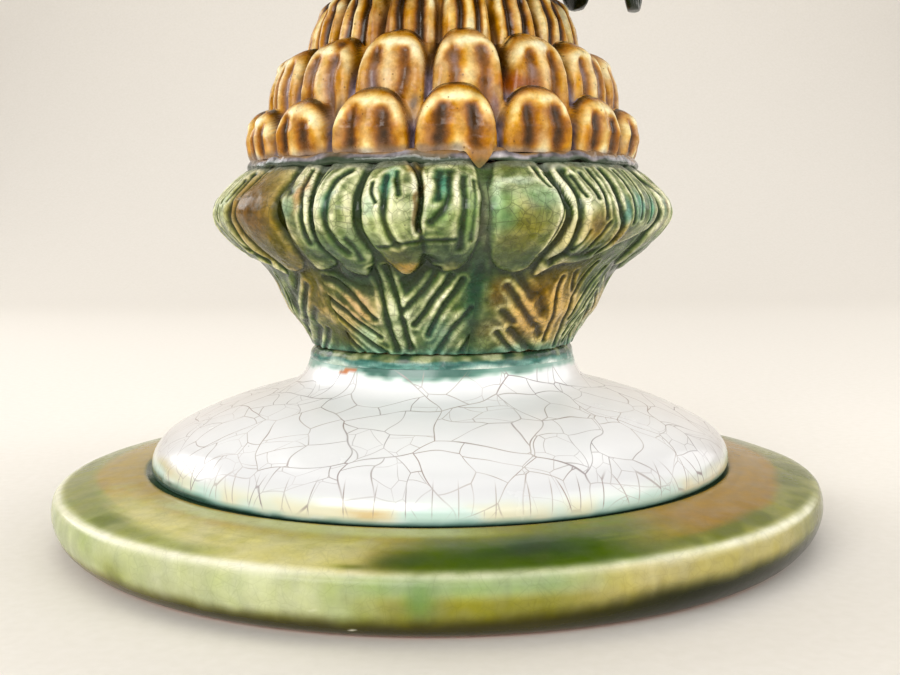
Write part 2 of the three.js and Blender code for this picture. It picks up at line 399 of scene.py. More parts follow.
def crackle_material(name):
    """White glaze with grey-brown crackle; stained and green parts come with the mesh."""
    n = Nodes(name)
    pos = n.position()
    crk = n.attribute("crk")["Vector"]
    mask = n.attribute("ckm")["Fac"]
    lines, vec = crackle(n, crk, (21.0, 11.5, 7.4), (0.165, 0.15, 0.11), (1.1, 0.30), 5.6, True, 0.82)
    near_edge = n.attribute("ckr")["Fac"]
    upright, _ = crackle(n, n.attribute("crs")["Vector"], (6.6,), (0.13,), (), 1.3, True, 0.62)
    lines = n.math("MAXIMUM", n.math("MULTIPLY", lines, n.map(near_edge, 0.0, 1.0, 1.0, 0.55)), n.math("MULTIPLY", upright, near_edge))
    base = n.attribute("Col")["Color"]
    cloud = n.noise(pos, 1 / 14.0, 4.0, 0.6)["Fac"]
    base = n.mixc(n.map(cloud, 0.45, 0.75, 0.0, 0.10), base, tuple(lin((222, 224, 228))))
    tone = n.mixc(n.map(n.noise(pos, 1 / 30.0, 1.0)["Fac"], 0.4, 0.6, 0.0, 1.0),
                  tuple(lin((138, 128, 132))), tuple(lin((152, 132, 122))))
    halo = n.math("MULTIPLY", n.math("MULTIPLY", lines, mask), 0.92)
    col = n.mixc(halo, base, tone)
    v = n.voronoi(pos, 1 / 9.0, "F1")
    sep = n.nt.nodes.new("ShaderNodeSeparateColor")
    n.link(v["Color"], sep.inputs[0])
    dot = n.math("MULTIPLY", n.map(v["Distance"], 0.012, 0.03, 1.0, 0.0, True),
                 n.math("LESS_THAN", sep.outputs[0], 0.35))
    col = n.mixc(n.math("MULTIPLY", dot, 0.7), col, tuple(lin((92, 88, 84))))
    n.link(col, n.bsdf.inputs["Base Color"])
    n.link(n.map(cloud, 0.3, 0.7, 0.17, 0.28), n.bsdf.inputs["Roughness"])
    n.bsdf.inputs["IOR"].default_value = 1.5
    n.bsdf.inputs["Coat Weight"].default_value = 0.2
    n.bsdf.inputs["Coat Roughness"].default_value = 0.11
    h = n.math("SUBTRACT", n.math("MULTIPLY", n.noise(pos, 1 / 6.0, 2.0)["Fac"], 0.8),
               n.math("MULTIPLY", halo, 0.12))
    n.bump(h, 0.22, 0.0005)
    return n.mat


def biscuit_material():
    """Unglazed terracotta, inside the hollow stem."""
    n = Nodes("terracotta")
    pos = n.position()
    m = n.noise(pos, 1 / 5.0, 6.0, 0.65)["Fac"]
    g = n.noise(pos, 1 / 0.5, 3.0, 0.6)["Fac"]
    col = n.mixc(n.map(m, 0.35, 0.65, 0, 1), tuple(lin((176, 112, 74))), tuple(lin((203, 146, 104))))
    col = n.mixc(n.map(g, 0.58, 0.7, 0, 0.5), col, tuple(lin((128, 76, 48))))
    n.link(col, n.bsdf.inputs["Base Color"])
    n.bsdf.inputs["Roughness"].default_value = 0.82
    n.bump(n.math("ADD", n.math("MULTIPLY", g, 0.5), m), 0.5, 0.0006)
    return n.mat


M_FOOT = glaze_material("glaze_olive_foot", rough=0.17, var=0.05, ripple=0.10, fine=0.10, ior=1.30, coat=0.02, spec=0.3)
M_CRACK = crackle_material("glaze_white_crackle")
M_TEAL = glaze_material("glaze_teal_pooled", rough=0.2, var=0.16, ripple=0.5, fine=0.25, ior=1.4, coat=0.05)
M_LEAF = glaze_material("glaze_green_leaf", rough=0.25, var=0.22, ripple=0.4, speck=(58, 48, 14), speck_amount=0.16, fine=0.5, ior=1.40, coat=0.07, spec=0.36)
M_SEAM = glaze_material("glaze_slip_seam", rough=0.16, var=0.2, ripple=0.5)
M_SCALE = glaze_material("glaze_amber_scale", rough=0.25, var=0.20, ripple=0.4, speck=(76, 44, 8), speck_amount=0.3, ior=1.42, coat=0.06, spec=0.34)
M_CROWN = glaze_material("glaze_dark_green_crown", rough=0.18, var=0.2, ripple=0.35, ior=1.4, coat=0.04, spec=0.3)
M_BISCUIT = biscuit_material()


# ------------------------------------------------------------------ turned pieces
def lathe(points, step, nphi, warp=None, lean=True):
    """Closed turned surface.  Returns points (nphi, n, 3), radius, azimuth, height,
    distance along the section."""
    path = spline(points + [points[0]], step)[:-1]
    A = np.linspace(0, 2 * PI, nphi, endpoint=False)[:, None]
    R, Z = np.repeat(path[None, :, 0], nphi, 0), np.repeat(path[None, :, 1], nphi, 0)
    if warp:
        R, Z = warp(R, Z, A + 0 * R)
    s = np.r_[0, np.cumsum(np.linalg.norm(np.diff(path, axis=0), axis=1))]
    return place(R, A + 0 * R, Z, lean), R, A + 0 * R, Z, np.repeat(s[None], nphi, 0)


def blob(az, v, a0, v0, ra, rv):
    """Soft spot in azimuth (degrees) and a second coordinate."""
    d = (wrap_deg(az - a0) / ra) ** 2 + ((v - v0) / rv) ** 2
    return np.exp(-d)


# ---- foot plate: rolled rim, soft crease, mottled glaze
def foot_plate():
    pts = [[90, 0.25, 1], [91, 0.0], [97.0, 0.0], [98.6, 0.5], [101.0, 2.0], [103.6, 5.0], [105, 9.2], [104.9, 12.2],
           [104.35, 13.9], [103.5, 14.65, 1], [101.6, 15.35], [99, 15.95], [94, 16.9], [88, 17.7], [82.5, 18.3],
           [81.4, 18.3], [80.6, 18.1], [79.9, 17.7, 1], [70, 17.6, 1], [68.5, 13], [69.6, 8.4], [85, 7.4], [88.4, 5.4]]

    def warp(R, Z, A):
        p = place(R, A, Z, False)
        w = smooth(82, 90, R) * smooth(6, 12, Z)
        Z = np.maximum(Z + w * (0.22 * noise(p * [1, 1, 0], 38, 3) + 0.05 * noise(p, 9, 4)), 0.0)
        R = R - smooth(100, 103, R) * 0.25 * (1 + noise(place(R, A, 0 * Z, False), 45, 5)) * 0.5
        return R, Z

    P, R, A, Z, S = lathe(pts, 0.62, 540, warp, False)
    az = wrap_deg(np.degrees(A))
    n1, n2, n3 = fbm(P, 26, 3, 11), fbm(P, 9, 3, 12), fbm(P, 3.4, 2, 13)
    # glaze ran along the wheel marks on top and down over the roll
    ring = place(R * 0 + 60, A, R * 4.5, False)
    wheel = fbm(ring * [0.35, 0.35, 1], 9, 3, 14)
    runs = fbm(np.stack([P[..., 0], P[..., 1], Z * 0.12], axis=-1), 3.2, 3, 15)
    azn = az + 4 * n1 + 2.0 * n2
    rn = R + 1.1 * n2 + 0.9 * n1
    # top face, by azimuth: golden at both sides, cream-olive front left, dark green front
    gold, gold_l, cream = (156, 120, 38), (170, 144, 62), (212, 208, 146)
    top = mix(np.broadcast_to(gold, P.shape), gold_l, smooth(-20, -70, azn) * smooth(-172, -135, azn))
    top = mix(top, cream, 0.9 * smooth(-72, -46, azn) * smooth(2, -12, azn) * smooth(82, 92, rn))
    top = mix(top, (172, 168, 98), 0.5 * smooth(0.0, 0.5, n2 + 0.7 * wheel) * smooth(-80, -60, azn) * smooth(2, -12, azn))
    top = mix(top, (150, 150, 66), 0.8 * blob(azn, rn, -15, 85, 13, 7))
    top = mix(top, (124, 122, 38), smooth(-8, 0, azn) * smooth(38, 26, azn))
    top = mix(top, (70, 92, 22), smooth(-9, 9, azn) * smooth(38, 22, azn) * smooth(83, 93, rn))
    top = mix(top, (96, 112, 34), 0.6 * smooth(0.05, 0.5, n2 + 0.6 * wheel) * smooth(8, 20, azn) * smooth(34, 24, azn))
    top = mix(top, (40, 64, 46), 0.85 * blob(azn, rn, 12, 94, 6, 5))
    top = mix(top, (42, 66, 18), 0.7 * blob(azn, rn, -1, 99, 5, 4))
    top = mix(top, (150, 138, 62), 0.7 * blob(azn, rn, 32, 95, 8, 7))
    top = mix(top, (150, 112, 48), 0.5 * blob(azn, rn, 40, 92, 7, 6))
    top = mix(top, (96, 104, 30), 0.8 * blob(az, R, -9.5, 101.2, 2.0, 0.9))
    back = smooth(95, 120, np.abs(az))
    top = mix(top, (116, 122, 46), back * smooth(0.05, 0.4, n1))
    top = mix(top, (62, 86, 26), back * 0.8 * smooth(0.25, 0.55, n1 + 0.3 * n2))
    # painted reflection of the pale dome in the glaze beside it
    top = mix(top, (178, 188, 140), 0.75 * smooth(81.4, 82.6, R) * smooth(88.5, 85.0, R) * smooth(-62, -40, azn) * smooth(14, -2, azn))
    # greener outer zone, widest at the sides
    inner = np.interp(np.abs(wrap_deg(azn)), [0, 28, 45, 65, 100, 180], [99.5, 99.0, 96.5, 93.0, 93.5, 95])
    zone = smooth(inner - 2.4, inner + 2.2, rn + 1.3 * wheel) * smooth(22, 34, np.abs(azn))
    green = mix(np.broadcast_to((132, 140, 66), P.shape), (92, 106, 34), smooth(-0.25, 0.35, n2 + 0.6 * n1 + 0.15 * np.sign(az)))
    green = mix(green, (176, 182, 120), 0.6 * smooth(-76, -50, azn) * smooth(-20, -40, azn) * smooth(-0.3, 0.3, n2 - n1))
    top = mix(top, green, 0.85 * zone)
    top = top * (1 + 0.05 * wheel + 0.04 * n3)[..., None]
    # rolled side
    side = mix(np.broadcast_to((182, 187, 142), P.shape), (160, 170, 116), smooth(-0.2, 0.5, n1 + 0.6 * n2))
    side = mix(side, (132, 152, 100), 0.85 * smooth(-10, -3, azn) * smooth(24, 14, azn) * smooth(9.5, 12.5, Z))
    side = mix(side, (130, 126, 52), 0.9 * smooth(-10, 0, azn) * smooth(30, 18, azn) * smooth(12, 9.0, Z))
    side = mix(side, (176, 162, 100), 0.85 * smooth(14, 24, azn) * smooth(66, 50, azn))
    side = mix(side, (100, 98, 42), 0.85 * smooth(48, 66, azn) * smooth(125, 105, azn))
    side = mix(side, (96, 130, 62), 0.85 * blob(az + 0.8 * n2, Z, -1.6, 10, 1.7, 4.5))
    side = mix(side, (112, 118, 36), 0.7 * blob(az, Z, -43, 5.5, 3, 4))
    side = mix(side, (128, 136, 76), 0.8 * smooth(-66, -90, azn) * smooth(-172, -135, azn))
    side = mix(side, (112, 118, 48), back * smooth(-0.1, 0.35, n1))
    side = side * (1 + 0.07 * runs + 0.05 * n3)[..., None]
    # roll underside: the glaze's own dark olive, painted darker still as shade on the downward face, darkest on the
    # right, lighter on the left
    brink = np.interp(az, [-180, -70, -20, -4, 6, 26, 60, 180], [7.4, 6.8, 6.0, 6.6, 7.0, 9.2, 10.2, 7.4])
    low = smooth(brink + 1.2, brink - 3.6, Z + 0.55 * runs + 1.0 * n1 + 0.4 * n2)
    under = mix(np.broadcast_to((56, 52, 4), P.shape), (28, 30, 4), smooth(10, 34, azn) * smooth(172, 135, azn))
    under = mix(under, (98, 82, 18), smooth(-26, -56, azn) * smooth(-172, -135, azn))
    side = mix(side, under, low)
    onside = smooth(103.2, 103.7, R) * (Z < 14.75) + (Z < 13.5) * (R > 96)
    col = mix(top, side, np.clip(onside, 0, 1))
    # pale line where the glaze runs thin over the crease, with a painted highlight along it, strongest on the left and
    # front right
    edge = np.exp(-((R - 103.2) / 1.5) ** 2 - ((Z - 14.5) / 1.15) ** 2)
    thin = 0.80 * smooth(-8, -26, azn) * (azn < 0) + 0.40 * smooth(-30, -8, azn) * smooth(28, 12, azn) + 0.75 * smooth(14, 30, azn) * smooth(75, 60, azn) + 0.2
    col = mix(col, (238, 236, 208), np.clip(edge * (thin + 0.25 * runs), 0, 1) * smooth(150, 110, np.abs(az)))
    # bare clay where the foot was wiped, and glaze thin against it
    col = mix(col, (180, 118, 78), smooth(0.9, 0.3, Z) * (R > 88))
    col = mix(col, (150, 100, 60), (Z < 17) * (R < 89.5) * 0.85)
    # pooled dark green in the groove against the dome
    side_l = smooth(-22, -60, az) * smooth(-150, -110, az)
    pool = smooth(80.9 + 0.6 * side_l, 80.2, R + 0.3 * n2) * (Z > 15)
    col = mix(col, (54, 80, 56), pool)
    col = mix(col, (168, 128, 50), 0.8 * np.exp(-((R - 81.3 - 0.25 * n2) / 0.5) ** 2) * (Z > 15)
              * np.clip(smooth(-24, -16, azn) * smooth(26, 12, azn) + 0.7 * blob(azn, R, 64, 81.3, 10, 9), 0, 1))
    # small nicks in the glaze
    for a0, z0, ra, rz, c in ((-12.3, 6.8, 0.13, 0.5, (232, 230, 214)), (-9.4, 2.6, 0.11, 0.28, (222, 220, 200)),
                              (-13.4, 7.0, 0.1, 0.16, (222, 222, 196)), (70, 11.8, 0.13, 0.36, (222, 220, 190))):
        col = mix(col, c, np.clip(1.6 * blob(az, Z, a0, z0, ra, rz), 0, 1) * (R > 100))
    ob = make_mesh("foot_plate_glazed", P, grid_quads(*R.shape, True, True), colour=lin(np.clip(col, 0, 255)))
    return finish_piece(ob, M_FOOT, ["foot_plate"])


foot_plate()


# ---- white dome
def NECK_TEAL(az):
    """How much the dark glaze gathered at the neck, by azimuth."""
    return 0.15 + 0.75 * np.exp(-((az + 8) / 22) ** 2) + 0.35 * np.exp(-((az - 34) / 9) ** 2) + 0.3 * np.exp(-((np.abs(az) - 75) / 12) ** 2)


def foot_dome():
    pts = [[78.2, 17.75, 1], [79.2, 18.0], [79.7, 18.8], [79.9, 20.3], [79.4, 22.6], [78.1, 24.9], [75.8, 27.2],
           [72.3, 29.3], [66.8, 31.9], [60, 34.7], [53, 37.0], [46, 38.9], [42, 40.2], [39.4, 42.0], [38.0, 44.2],
           [37.0, 47.05, 1], [30.6, 47.05, 1], [31.6, 42.2], [36, 36.6], [56, 30.4], [68, 25.6], [72.2, 17.75, 1]]

    def warp(R, Z, A):
        p = place(R, A, Z, False)
        out = smooth(30, 40, R) * smooth(17, 20, Z)
        Z = Z + out * smooth(81, 76, R) * (0.30 * noise(p * [1, 1, 0], 26, 21) + 0.10 * noise(p, 9, 22))
        R = R + out * 0.22 * noise(p * [1, 1, 0.2], 24, 23) * smooth(60, 80, R)
        return R, Z

    P, R, A, Z, S = lathe(pts, 0.82, 520, warp)
    az = wrap_deg(np.degrees(A))
    n1, n2, n3 = fbm(P, 16, 3, 24), fbm(P, 5, 3, 25), fbm(P, 2.0, 2, 26)
    col = np.broadcast_to((242.0, 243.0, 245.0), P.shape).copy()
    col = mix(col, (240, 226, 218), 0.35 * smooth(48, 84, np.abs(az)))
    # painted shade: the steep lower shoulder darkened by a tenth
    col = col * (1 - 0.10 * smooth(31, 25, Z))[..., None]
    # glaze takes colour near the groove
    zz = Z + 0.8 * n2 + 0.5 * n1
    left = smooth(-22, -60, az) * smooth(-150, -110, az)
    lift = 2.2 * left
    col = mix(col, (222, 232, 226), 0.8 * smooth(25.0, 21.5, zz))
    col = mix(col, (226, 214, 170), 0.6 * smooth(24.0 + lift, 21.0, zz) * smooth(-0.1, 0.3, n1 + 0.3 * left))
    col = mix(col, (206, 172, 108), 0.8 * blob(az, zz, -11, 21.0, 3.4, 1.0))
    col = mix(col, (206, 184, 120), 0.7 * blob(az, zz, -62, 22.6, 7, 1.2))
    col = mix(col, (178, 212, 200), 0.7 * smooth(22.4 + 0.5 * lift, 20.9, zz) * smooth(0.3, -0.3, n1))
    streak = noise(P * [0.35, 0.35, 3.0], 1.3, 29)
    dark = 18.35 + 1.7 * left + 0.5 * smooth(30, 75, az) * smooth(150, 110, az)
    col = mix(col, (120, 168, 156), 0.75 * smooth(dark + 1.3, dark + 0.2, Z + 0.35 * n2 + 0.25 * streak))
    # painted highlights: pale streaks in the turquoise on the left side
    col = mix(col, (214, 230, 226), 0.6 * smooth(0.1, 0.6, streak) * smooth(dark + 2.0, dark + 0.3, Z) * smooth(12, -20, az))
    col = mix(col, (48, 84, 70), smooth(dark + 0.35, dark - 0.35, Z + 0.25 * n2 + 0.12 * n3))
    col = mix(col, (128, 156, 90), 0.6 * blob(az, Z, 75, 21.3, 6, 1.5))
    # dark glaze runs down a little from the neck
    run = 47.0 - 2.6 * NECK_TEAL(az) + 0.6 * fbm(P * [1, 1, 0.15], 7, 3, 27) + 0.35 * noise(P * [1, 1, 0.15], 2.4, 28)
    t = smooth(-1.5, 0.5, Z - run)
    col = mix(col, (204, 222, 212), 0.8 * smooth(0.0, 0.45, t))
    col = mix(col, (132, 170, 156), smooth(0.40, 0.8, t))
    col = mix(col, (52, 104, 90), smooth(0.75, 1.0, t) * smooth(0.3, 0.6, NECK_TEAL(az) + 0.5 * n1))
    # a chip down to the clay at the neck
    slant = Z - 46.0 - 0.10 * (az + 40.5)
    chip = np.clip(1.7 * blob(az, slant, -40.5, 0.0, 5.0, 0.55) * (1 + 0.5 * n3), 0, 1)
    col = mix(col, (196, 118, 62), smooth(0.45, 0.75, chip))
    inside = (Z < 46.9) & (R < np.interp(Z, [18, 25.6, 30.4, 36.6, 42.2, 47], [73, 69.5, 57.5, 37.4, 33.2, 31.4]))
    col = mix(col, (188, 128, 88), inside * 1.0)
    # developed surface for the crackle; on the shoulder the cells are narrow and upright
    s0 = S[0]
    top = s0[int(np.argmin(np.hypot(R[0] - 37.0, Z[0] - 47.05)))]
    rho = np.abs(top - s0) + 30.0
    V = np.stack([rho * np.sin(A), -rho * np.cos(A), np.where(inside, 300.0, 0.0) + 0 * A], axis=-1)
    flat = 80 + 0.30 * (rho - float(rho[int(np.argmax(R[0]))])) + 0 * A
    U = np.stack([flat * np.sin(A), -flat * np.cos(A), 0 * A], axis=-1)
    ckm = smooth(19.6, 20.9, Z) * smooth(46.9, 45.5, Z) * (~inside)
    ckr = smooth(28.0, 25.2, Z + 1.2 * n1)
    ob = make_mesh("foot_dome_glazed", P, grid_quads(*R.shape, True, True), colour=lin(np.clip(col, 0, 255)),
                   floats={"ckm": ckm, "ckr": ckr}, vectors={"crk": V, "crs": U})
    return finish_piece(ob, M_CRACK, ["foot_dome"])


foot_dome()


# ---- luting band at the neck
def neck_ring():
    pts = [[30.8, 47.1, 1], [36.9, 47.1, 1], [36.85, 47.7], [36.7, 48.6], [36.35, 49.6], [35.75, 50.3], [35.1, 50.66, 1], [30.8, 50.66, 1]]

    def warp(R, Z, A):
        p = place(R, A, Z, False)
        w = smooth(33, 36, R) * smooth(47.1, 47.9, Z) * smooth(50.7, 49.9, Z)
        return R + w * (0.3 * noise(p, 7, 31) + 0.12 * noise(p, 2.4, 32)), Z

    P, R, A, Z, S = lathe(pts, 0.3, 480, warp)
    az = wrap_deg(np.degrees(A))
    n1, n2 = fbm(P * [1, 1, 0.4], 9, 3, 33), fbm(P * [0.5, 0.5, 1.5], 1.6, 3, 34)
    # teal glaze; its paler horizontal streaks are painted highlights
    teal = ramp(0.5 + 0.5 * n1 + 0.45 * n2, [(0.0, (24, 66, 58)), (0.45, (52, 104, 94)), (0.8, (104, 152, 140)), (1.1, (160, 194, 184))])
    pale = ramp(0.5 + 0.5 * n1 + 0.4 * n2, [(0.1, (168, 192, 172)), (0.5, (208, 220, 208)), (0.9, (230, 233, 230))])
    here = np.clip(NECK_TEAL(az) + 0.50 + 0.7 * n1 + 0.5 * (Z - 48.9) / 1.8, 0, 1)
    col = mix(pale, teal, smooth(0.25, 0.75, here))
    along = np.stack([P[..., 0], P[..., 1], 0.15 * Z], axis=-1)
    leaf = ramp(0.5 + 0.8 * noise(along, 2.6, 35) + 0.4 * n2, [(0, (38, 62, 44)), (0.35, (70, 92, 54)), (0.7, (122, 130, 84)), (1, (172, 176, 132))])
    col = mix(col, leaf, 0.92 * smooth(48.6, 49.4, Z + 0.5 * n1 + 0.5 * n2))
    ob = make_mesh("neck_ring_glazed", P, grid_quads(*R.shape, True, True), colour=lin(np.clip(col, 0, 255)))
    return finish_piece(ob, M_TEAL, ["neck_ring"])


neck_ring()

# ------------------------------------------------------------------ calyx
CUP_Z = [50.8, 60, 70, 80, 90, 98.3]
CUP_R = [34.2, 37.6, 42.6, 47.2, 48.6, 47.6]


def plain_hollow(name, node, pts, material, seed):
    """Hidden hollow body behind leaves or scales, in bare clay."""
    P, R, A, Z, S = lathe(pts, 1.6, 144, lambda R, Z, A: (R + 0.15 * noise(place(R, A, Z, False), 8, seed), Z))
    ob = make_mesh(name, P, grid_quads(*R.shape, True, True), colour=lin(np.full(P.shape, 150.0)))
    return finish_piece(ob, material, [node])


plain_hollow("calyx_cup_body", "calyx_cup",
             [[r - 0.2, z, 1] for z, r in zip(CUP_Z, CUP_R)] + [[42.6, 98.3, 1], [42.8, 82], [37.4, 70], [29.6, 50.8, 1]],
             M_BISCUIT, 41)

# outer line of the calyx over its lobes: height, radius
CAL_Z = np.array([50.8, 54.5, 57.7, 61, 65.4, 68.8, 71, 73, 75, 77, 79.5, 82, 84.5, 86.6, 88, 90, 92, 94, 96, 98.4])
CAL_R = np.array([36.6, 38.5, 40.7, 43.4, 46.4, 48.3, 49.8, 51.7, 54, 56.2, 58.6, 60.8, 62.5, 63, 62.8, 62.1, 60.4, 58.4, 56.3, 53.2])
_fine = np.linspace(50.8, 98.4, 400)
_r = np.interp(_fine, CAL_Z, CAL_R)
for _ in range(30):
    _r[1:-1] = 0.25 * _r[:-2] + 0.5 * _r[1:-1] + 0.25 * _r[2:]
_s = np.r_[0, np.cumsum(np.hypot(np.diff(_fine), np.diff(_r)))]


def s_of_z(z):
    """Length up the outer line; it runs on past the seam."""
    return np.interp(z, _fine, _s) + np.maximum(0, np.asarray(z) - 98.4)


# Relief of a leaf, as (azimuth from the leaf's middle in degrees, height in mm).
# lobes: outline, rise, edge rounding.  grooves: line, width, depth.
LEAF_A = {
    "lobes": [
        ([(-19.7, 97.2), (-24.1, 96.8), (-25.7, 95.4), (-26.7, 93.7), (-25.4, 91.5), (-23.4, 88.3), (-22.5, 85.2), (-23.2, 82.4), (-24.3, 79.3), (-24.6, 76.1), (-23.9, 73.0), (-21.1, 72.1), (-17.3, 73.1), (-17.1, 76.1), (-17.2, 79.0), (-16.7, 81.9), (-16.1, 84.7), (-16.2, 88.2), (-17.1, 91.7), (-17.7, 94.2)], 2.6, 2.6),
        ([(-13.5, 97.5), (-14.7, 95.5), (-15.1, 92.9), (-14.4, 89.8), (-14.2, 86.5), (-14.9, 83.3), (-15.4, 80.0), (-15.3, 76.9), (-14.4, 74.2), (-12.4, 71.9), (-9.8, 71.0), (-7.1, 71.2), (-5.0, 73.2), (-4.2, 75.7), (-4.7, 78.1), (-5.5, 80.5), (-5.7, 83.2), (-5.5, 86.4), (-5.6, 89.9), (-5.5, 92.9), (-5.1, 95.8), (-5.8, 97.5), (-9.6, 98.1)], 3.0, 3.2),
        ([(-0.9, 96.2), (-2.4, 94.8), (-2.8, 92.1), (-2.8, 89.1), (-2.6, 86.2), (-2.7, 83.2), (-2.4, 80.5), (-1.4, 77.6), (0.1, 74.7), (2.0, 72.5), (4.2, 71.3), (6.2, 71.5), (8.1, 73.3), (9.0, 75.7), (9.5, 78.1), (9.4, 81.1), (9.5, 85.6), (9.2, 90.1), (8.4, 93.6), (7.0, 96.5), (4.9, 98.0), (1.9, 97.8)], 3.0, 3.2),
        ([(10.3, 95.5), (10.1, 92.4), (10.1, 87.9), (10.2, 83.4), (10.4, 79.9), (10.1, 77.1), (10.9, 74.7), (13.3, 73.0), (16.5, 72.3), (19.1, 73.0), (20.6, 75.2), (21.4, 78.0), (21.9, 81.0), (22.1, 84.9), (22.5, 88.2), (22.6, 91.2), (21.9, 94.0), (20.4, 96.4), (17.6, 97.7), (13.9, 97.7), (11.5, 97.2)], 3.0, 3.6),
    ],
    "top_grooves": [
        ([(-24.8, 97.3), (-23.9, 94.3), (-21.5, 91.4)], 2.2, 0.9),
        ([(-19.4, 96.7), (-19.1, 93.2), (-17.8, 89.4), (-17.6, 85.7), (-18.1, 81.9), (-18.1, 79.0)], 1.4, 1.0),
        ([(-13.9, 97.0), (-14.8, 94.6), (-14.9, 91.7), (-14.5, 88.9), (-14.6, 85.8), (-15.1, 82.8)], 0.7, 0.5),
        ([(-8.1, 96.1), (-10.3, 94.0), (-10.7, 91.1), (-10.8, 88.1), (-11.1, 85.6), (-11.1, 82.4), (-10.3, 79.3), (-8.8, 77.1)], 2.0, 1.3),
        ([(-7.7, 80.0), (-6.5, 77.6), (-6.4, 75.2)], 1.6, 0.7),
        ([(-1.1, 93.3), (-0.9, 90.9), (0.1, 88.6)], 1.0, 0.8),
        ([(1.8, 94.7), (1.9, 91.4), (1.9, 87.9), (2.0, 84.6), (2.5, 81.1), (3.8, 78.8)], 1.8, 1.3),
        ([(3.9, 95.6), (4.4, 92.5), (4.9, 90.4)], 1.4, 0.7),
        ([(-0.7, 78.1), (2.3, 78.6), (6.0, 79.3), (9.4, 79.5), (13.3, 79.9), (17.3, 80.1)], 1.2, 0.45),
        ([(14.0, 95.5), (13.4, 92.4), (13.4, 89.4)], 2.2, 1.4),
        ([(16.1, 95.5), (15.8, 92.4), (15.3, 89.0), (14.0, 86.0), (12.3, 84.0)], 2.0, 1.3),
        ([(19.2, 94.0), (19.3, 90.1), (19.2, 85.6), (18.8, 81.0), (18.1, 78.0)], 1.8, 0.9),
        ([(21.6, 93.6), (21.7, 88.9), (21.1, 84.0), (20.7, 79.9)], 1.2, 0.5),
        ([(6.3, 98.5), (8.7, 95.5), (9.6, 91.3), (9.7, 86.7), (9.4, 81.8)], 1.2, 1.6),
    ],
    "veins": [
        ([(-23.2, 69.7), (-19.1, 68.3), (-15.5, 65.8), (-12.5, 63.3), (-9.1, 60.0)], 1.7, 1.5),
        ([(-24.9, 65.0), (-22.2, 63.6), (-18.4, 61.3), (-14.8, 58.5), (-9.4, 55.2)], 1.3, 1.3),
        ([(-24.8, 61.6), (-22.5, 59.6), (-19.2, 56.8), (-15.1, 53.9), (-8.8, 50.9)], 1.4, 1.3),
        ([(-25.2, 56.0), (-23.8, 53.9), (-19.2, 50.8)], 1.2, 1.1),
        ([(-5.2, 72.3), (-5.2, 69.0), (-5.1, 65.2), (-4.8, 61.4), (-4.9, 56.1), (-3.9, 51.8)], 1.6, 1.5),
        ([(-1.4, 72.3), (-0.8, 68.6), (0.0, 64.0), (0.6, 60.1), (0.8, 56.1), (1.9, 52.4)], 1.6, 1.5),
        ([(11.4, 74.7), (8.3, 71.1), (3.5, 67.6)], 3.4, 1.6),
        ([(13.8, 72.8), (10.3, 68.3), (5.5, 64.6), (1.5, 62.2)], 1.8, 1.3),
        ([(16.9, 70.3), (13.8, 66.6), (9.6, 62.3), (4.7, 58.6)], 1.5, 1.3),
        ([(20.3, 69.5), (17.3, 65.3), (13.7, 61.2), (9.3, 55.9)], 1.5, 1.4),
        ([(23.2, 62.7), (19.4, 58.8), (15.8, 54.9), (12.5, 51.1)], 1.6, 1.2),
        ([(24.6, 55.4), (21.9, 51.3)], 1.5, 1.1),
    ],
    "pits": [
        ([(-18.5, 74.6), (-17.7, 70.6), (-13.0, 68.2), (-8.7, 67.2)], 6.0, 1.6),
        ([(3.5, 69.3), (7.8, 71.3), (11.7, 72.3)], 3.5, 1.2),
    ],
}
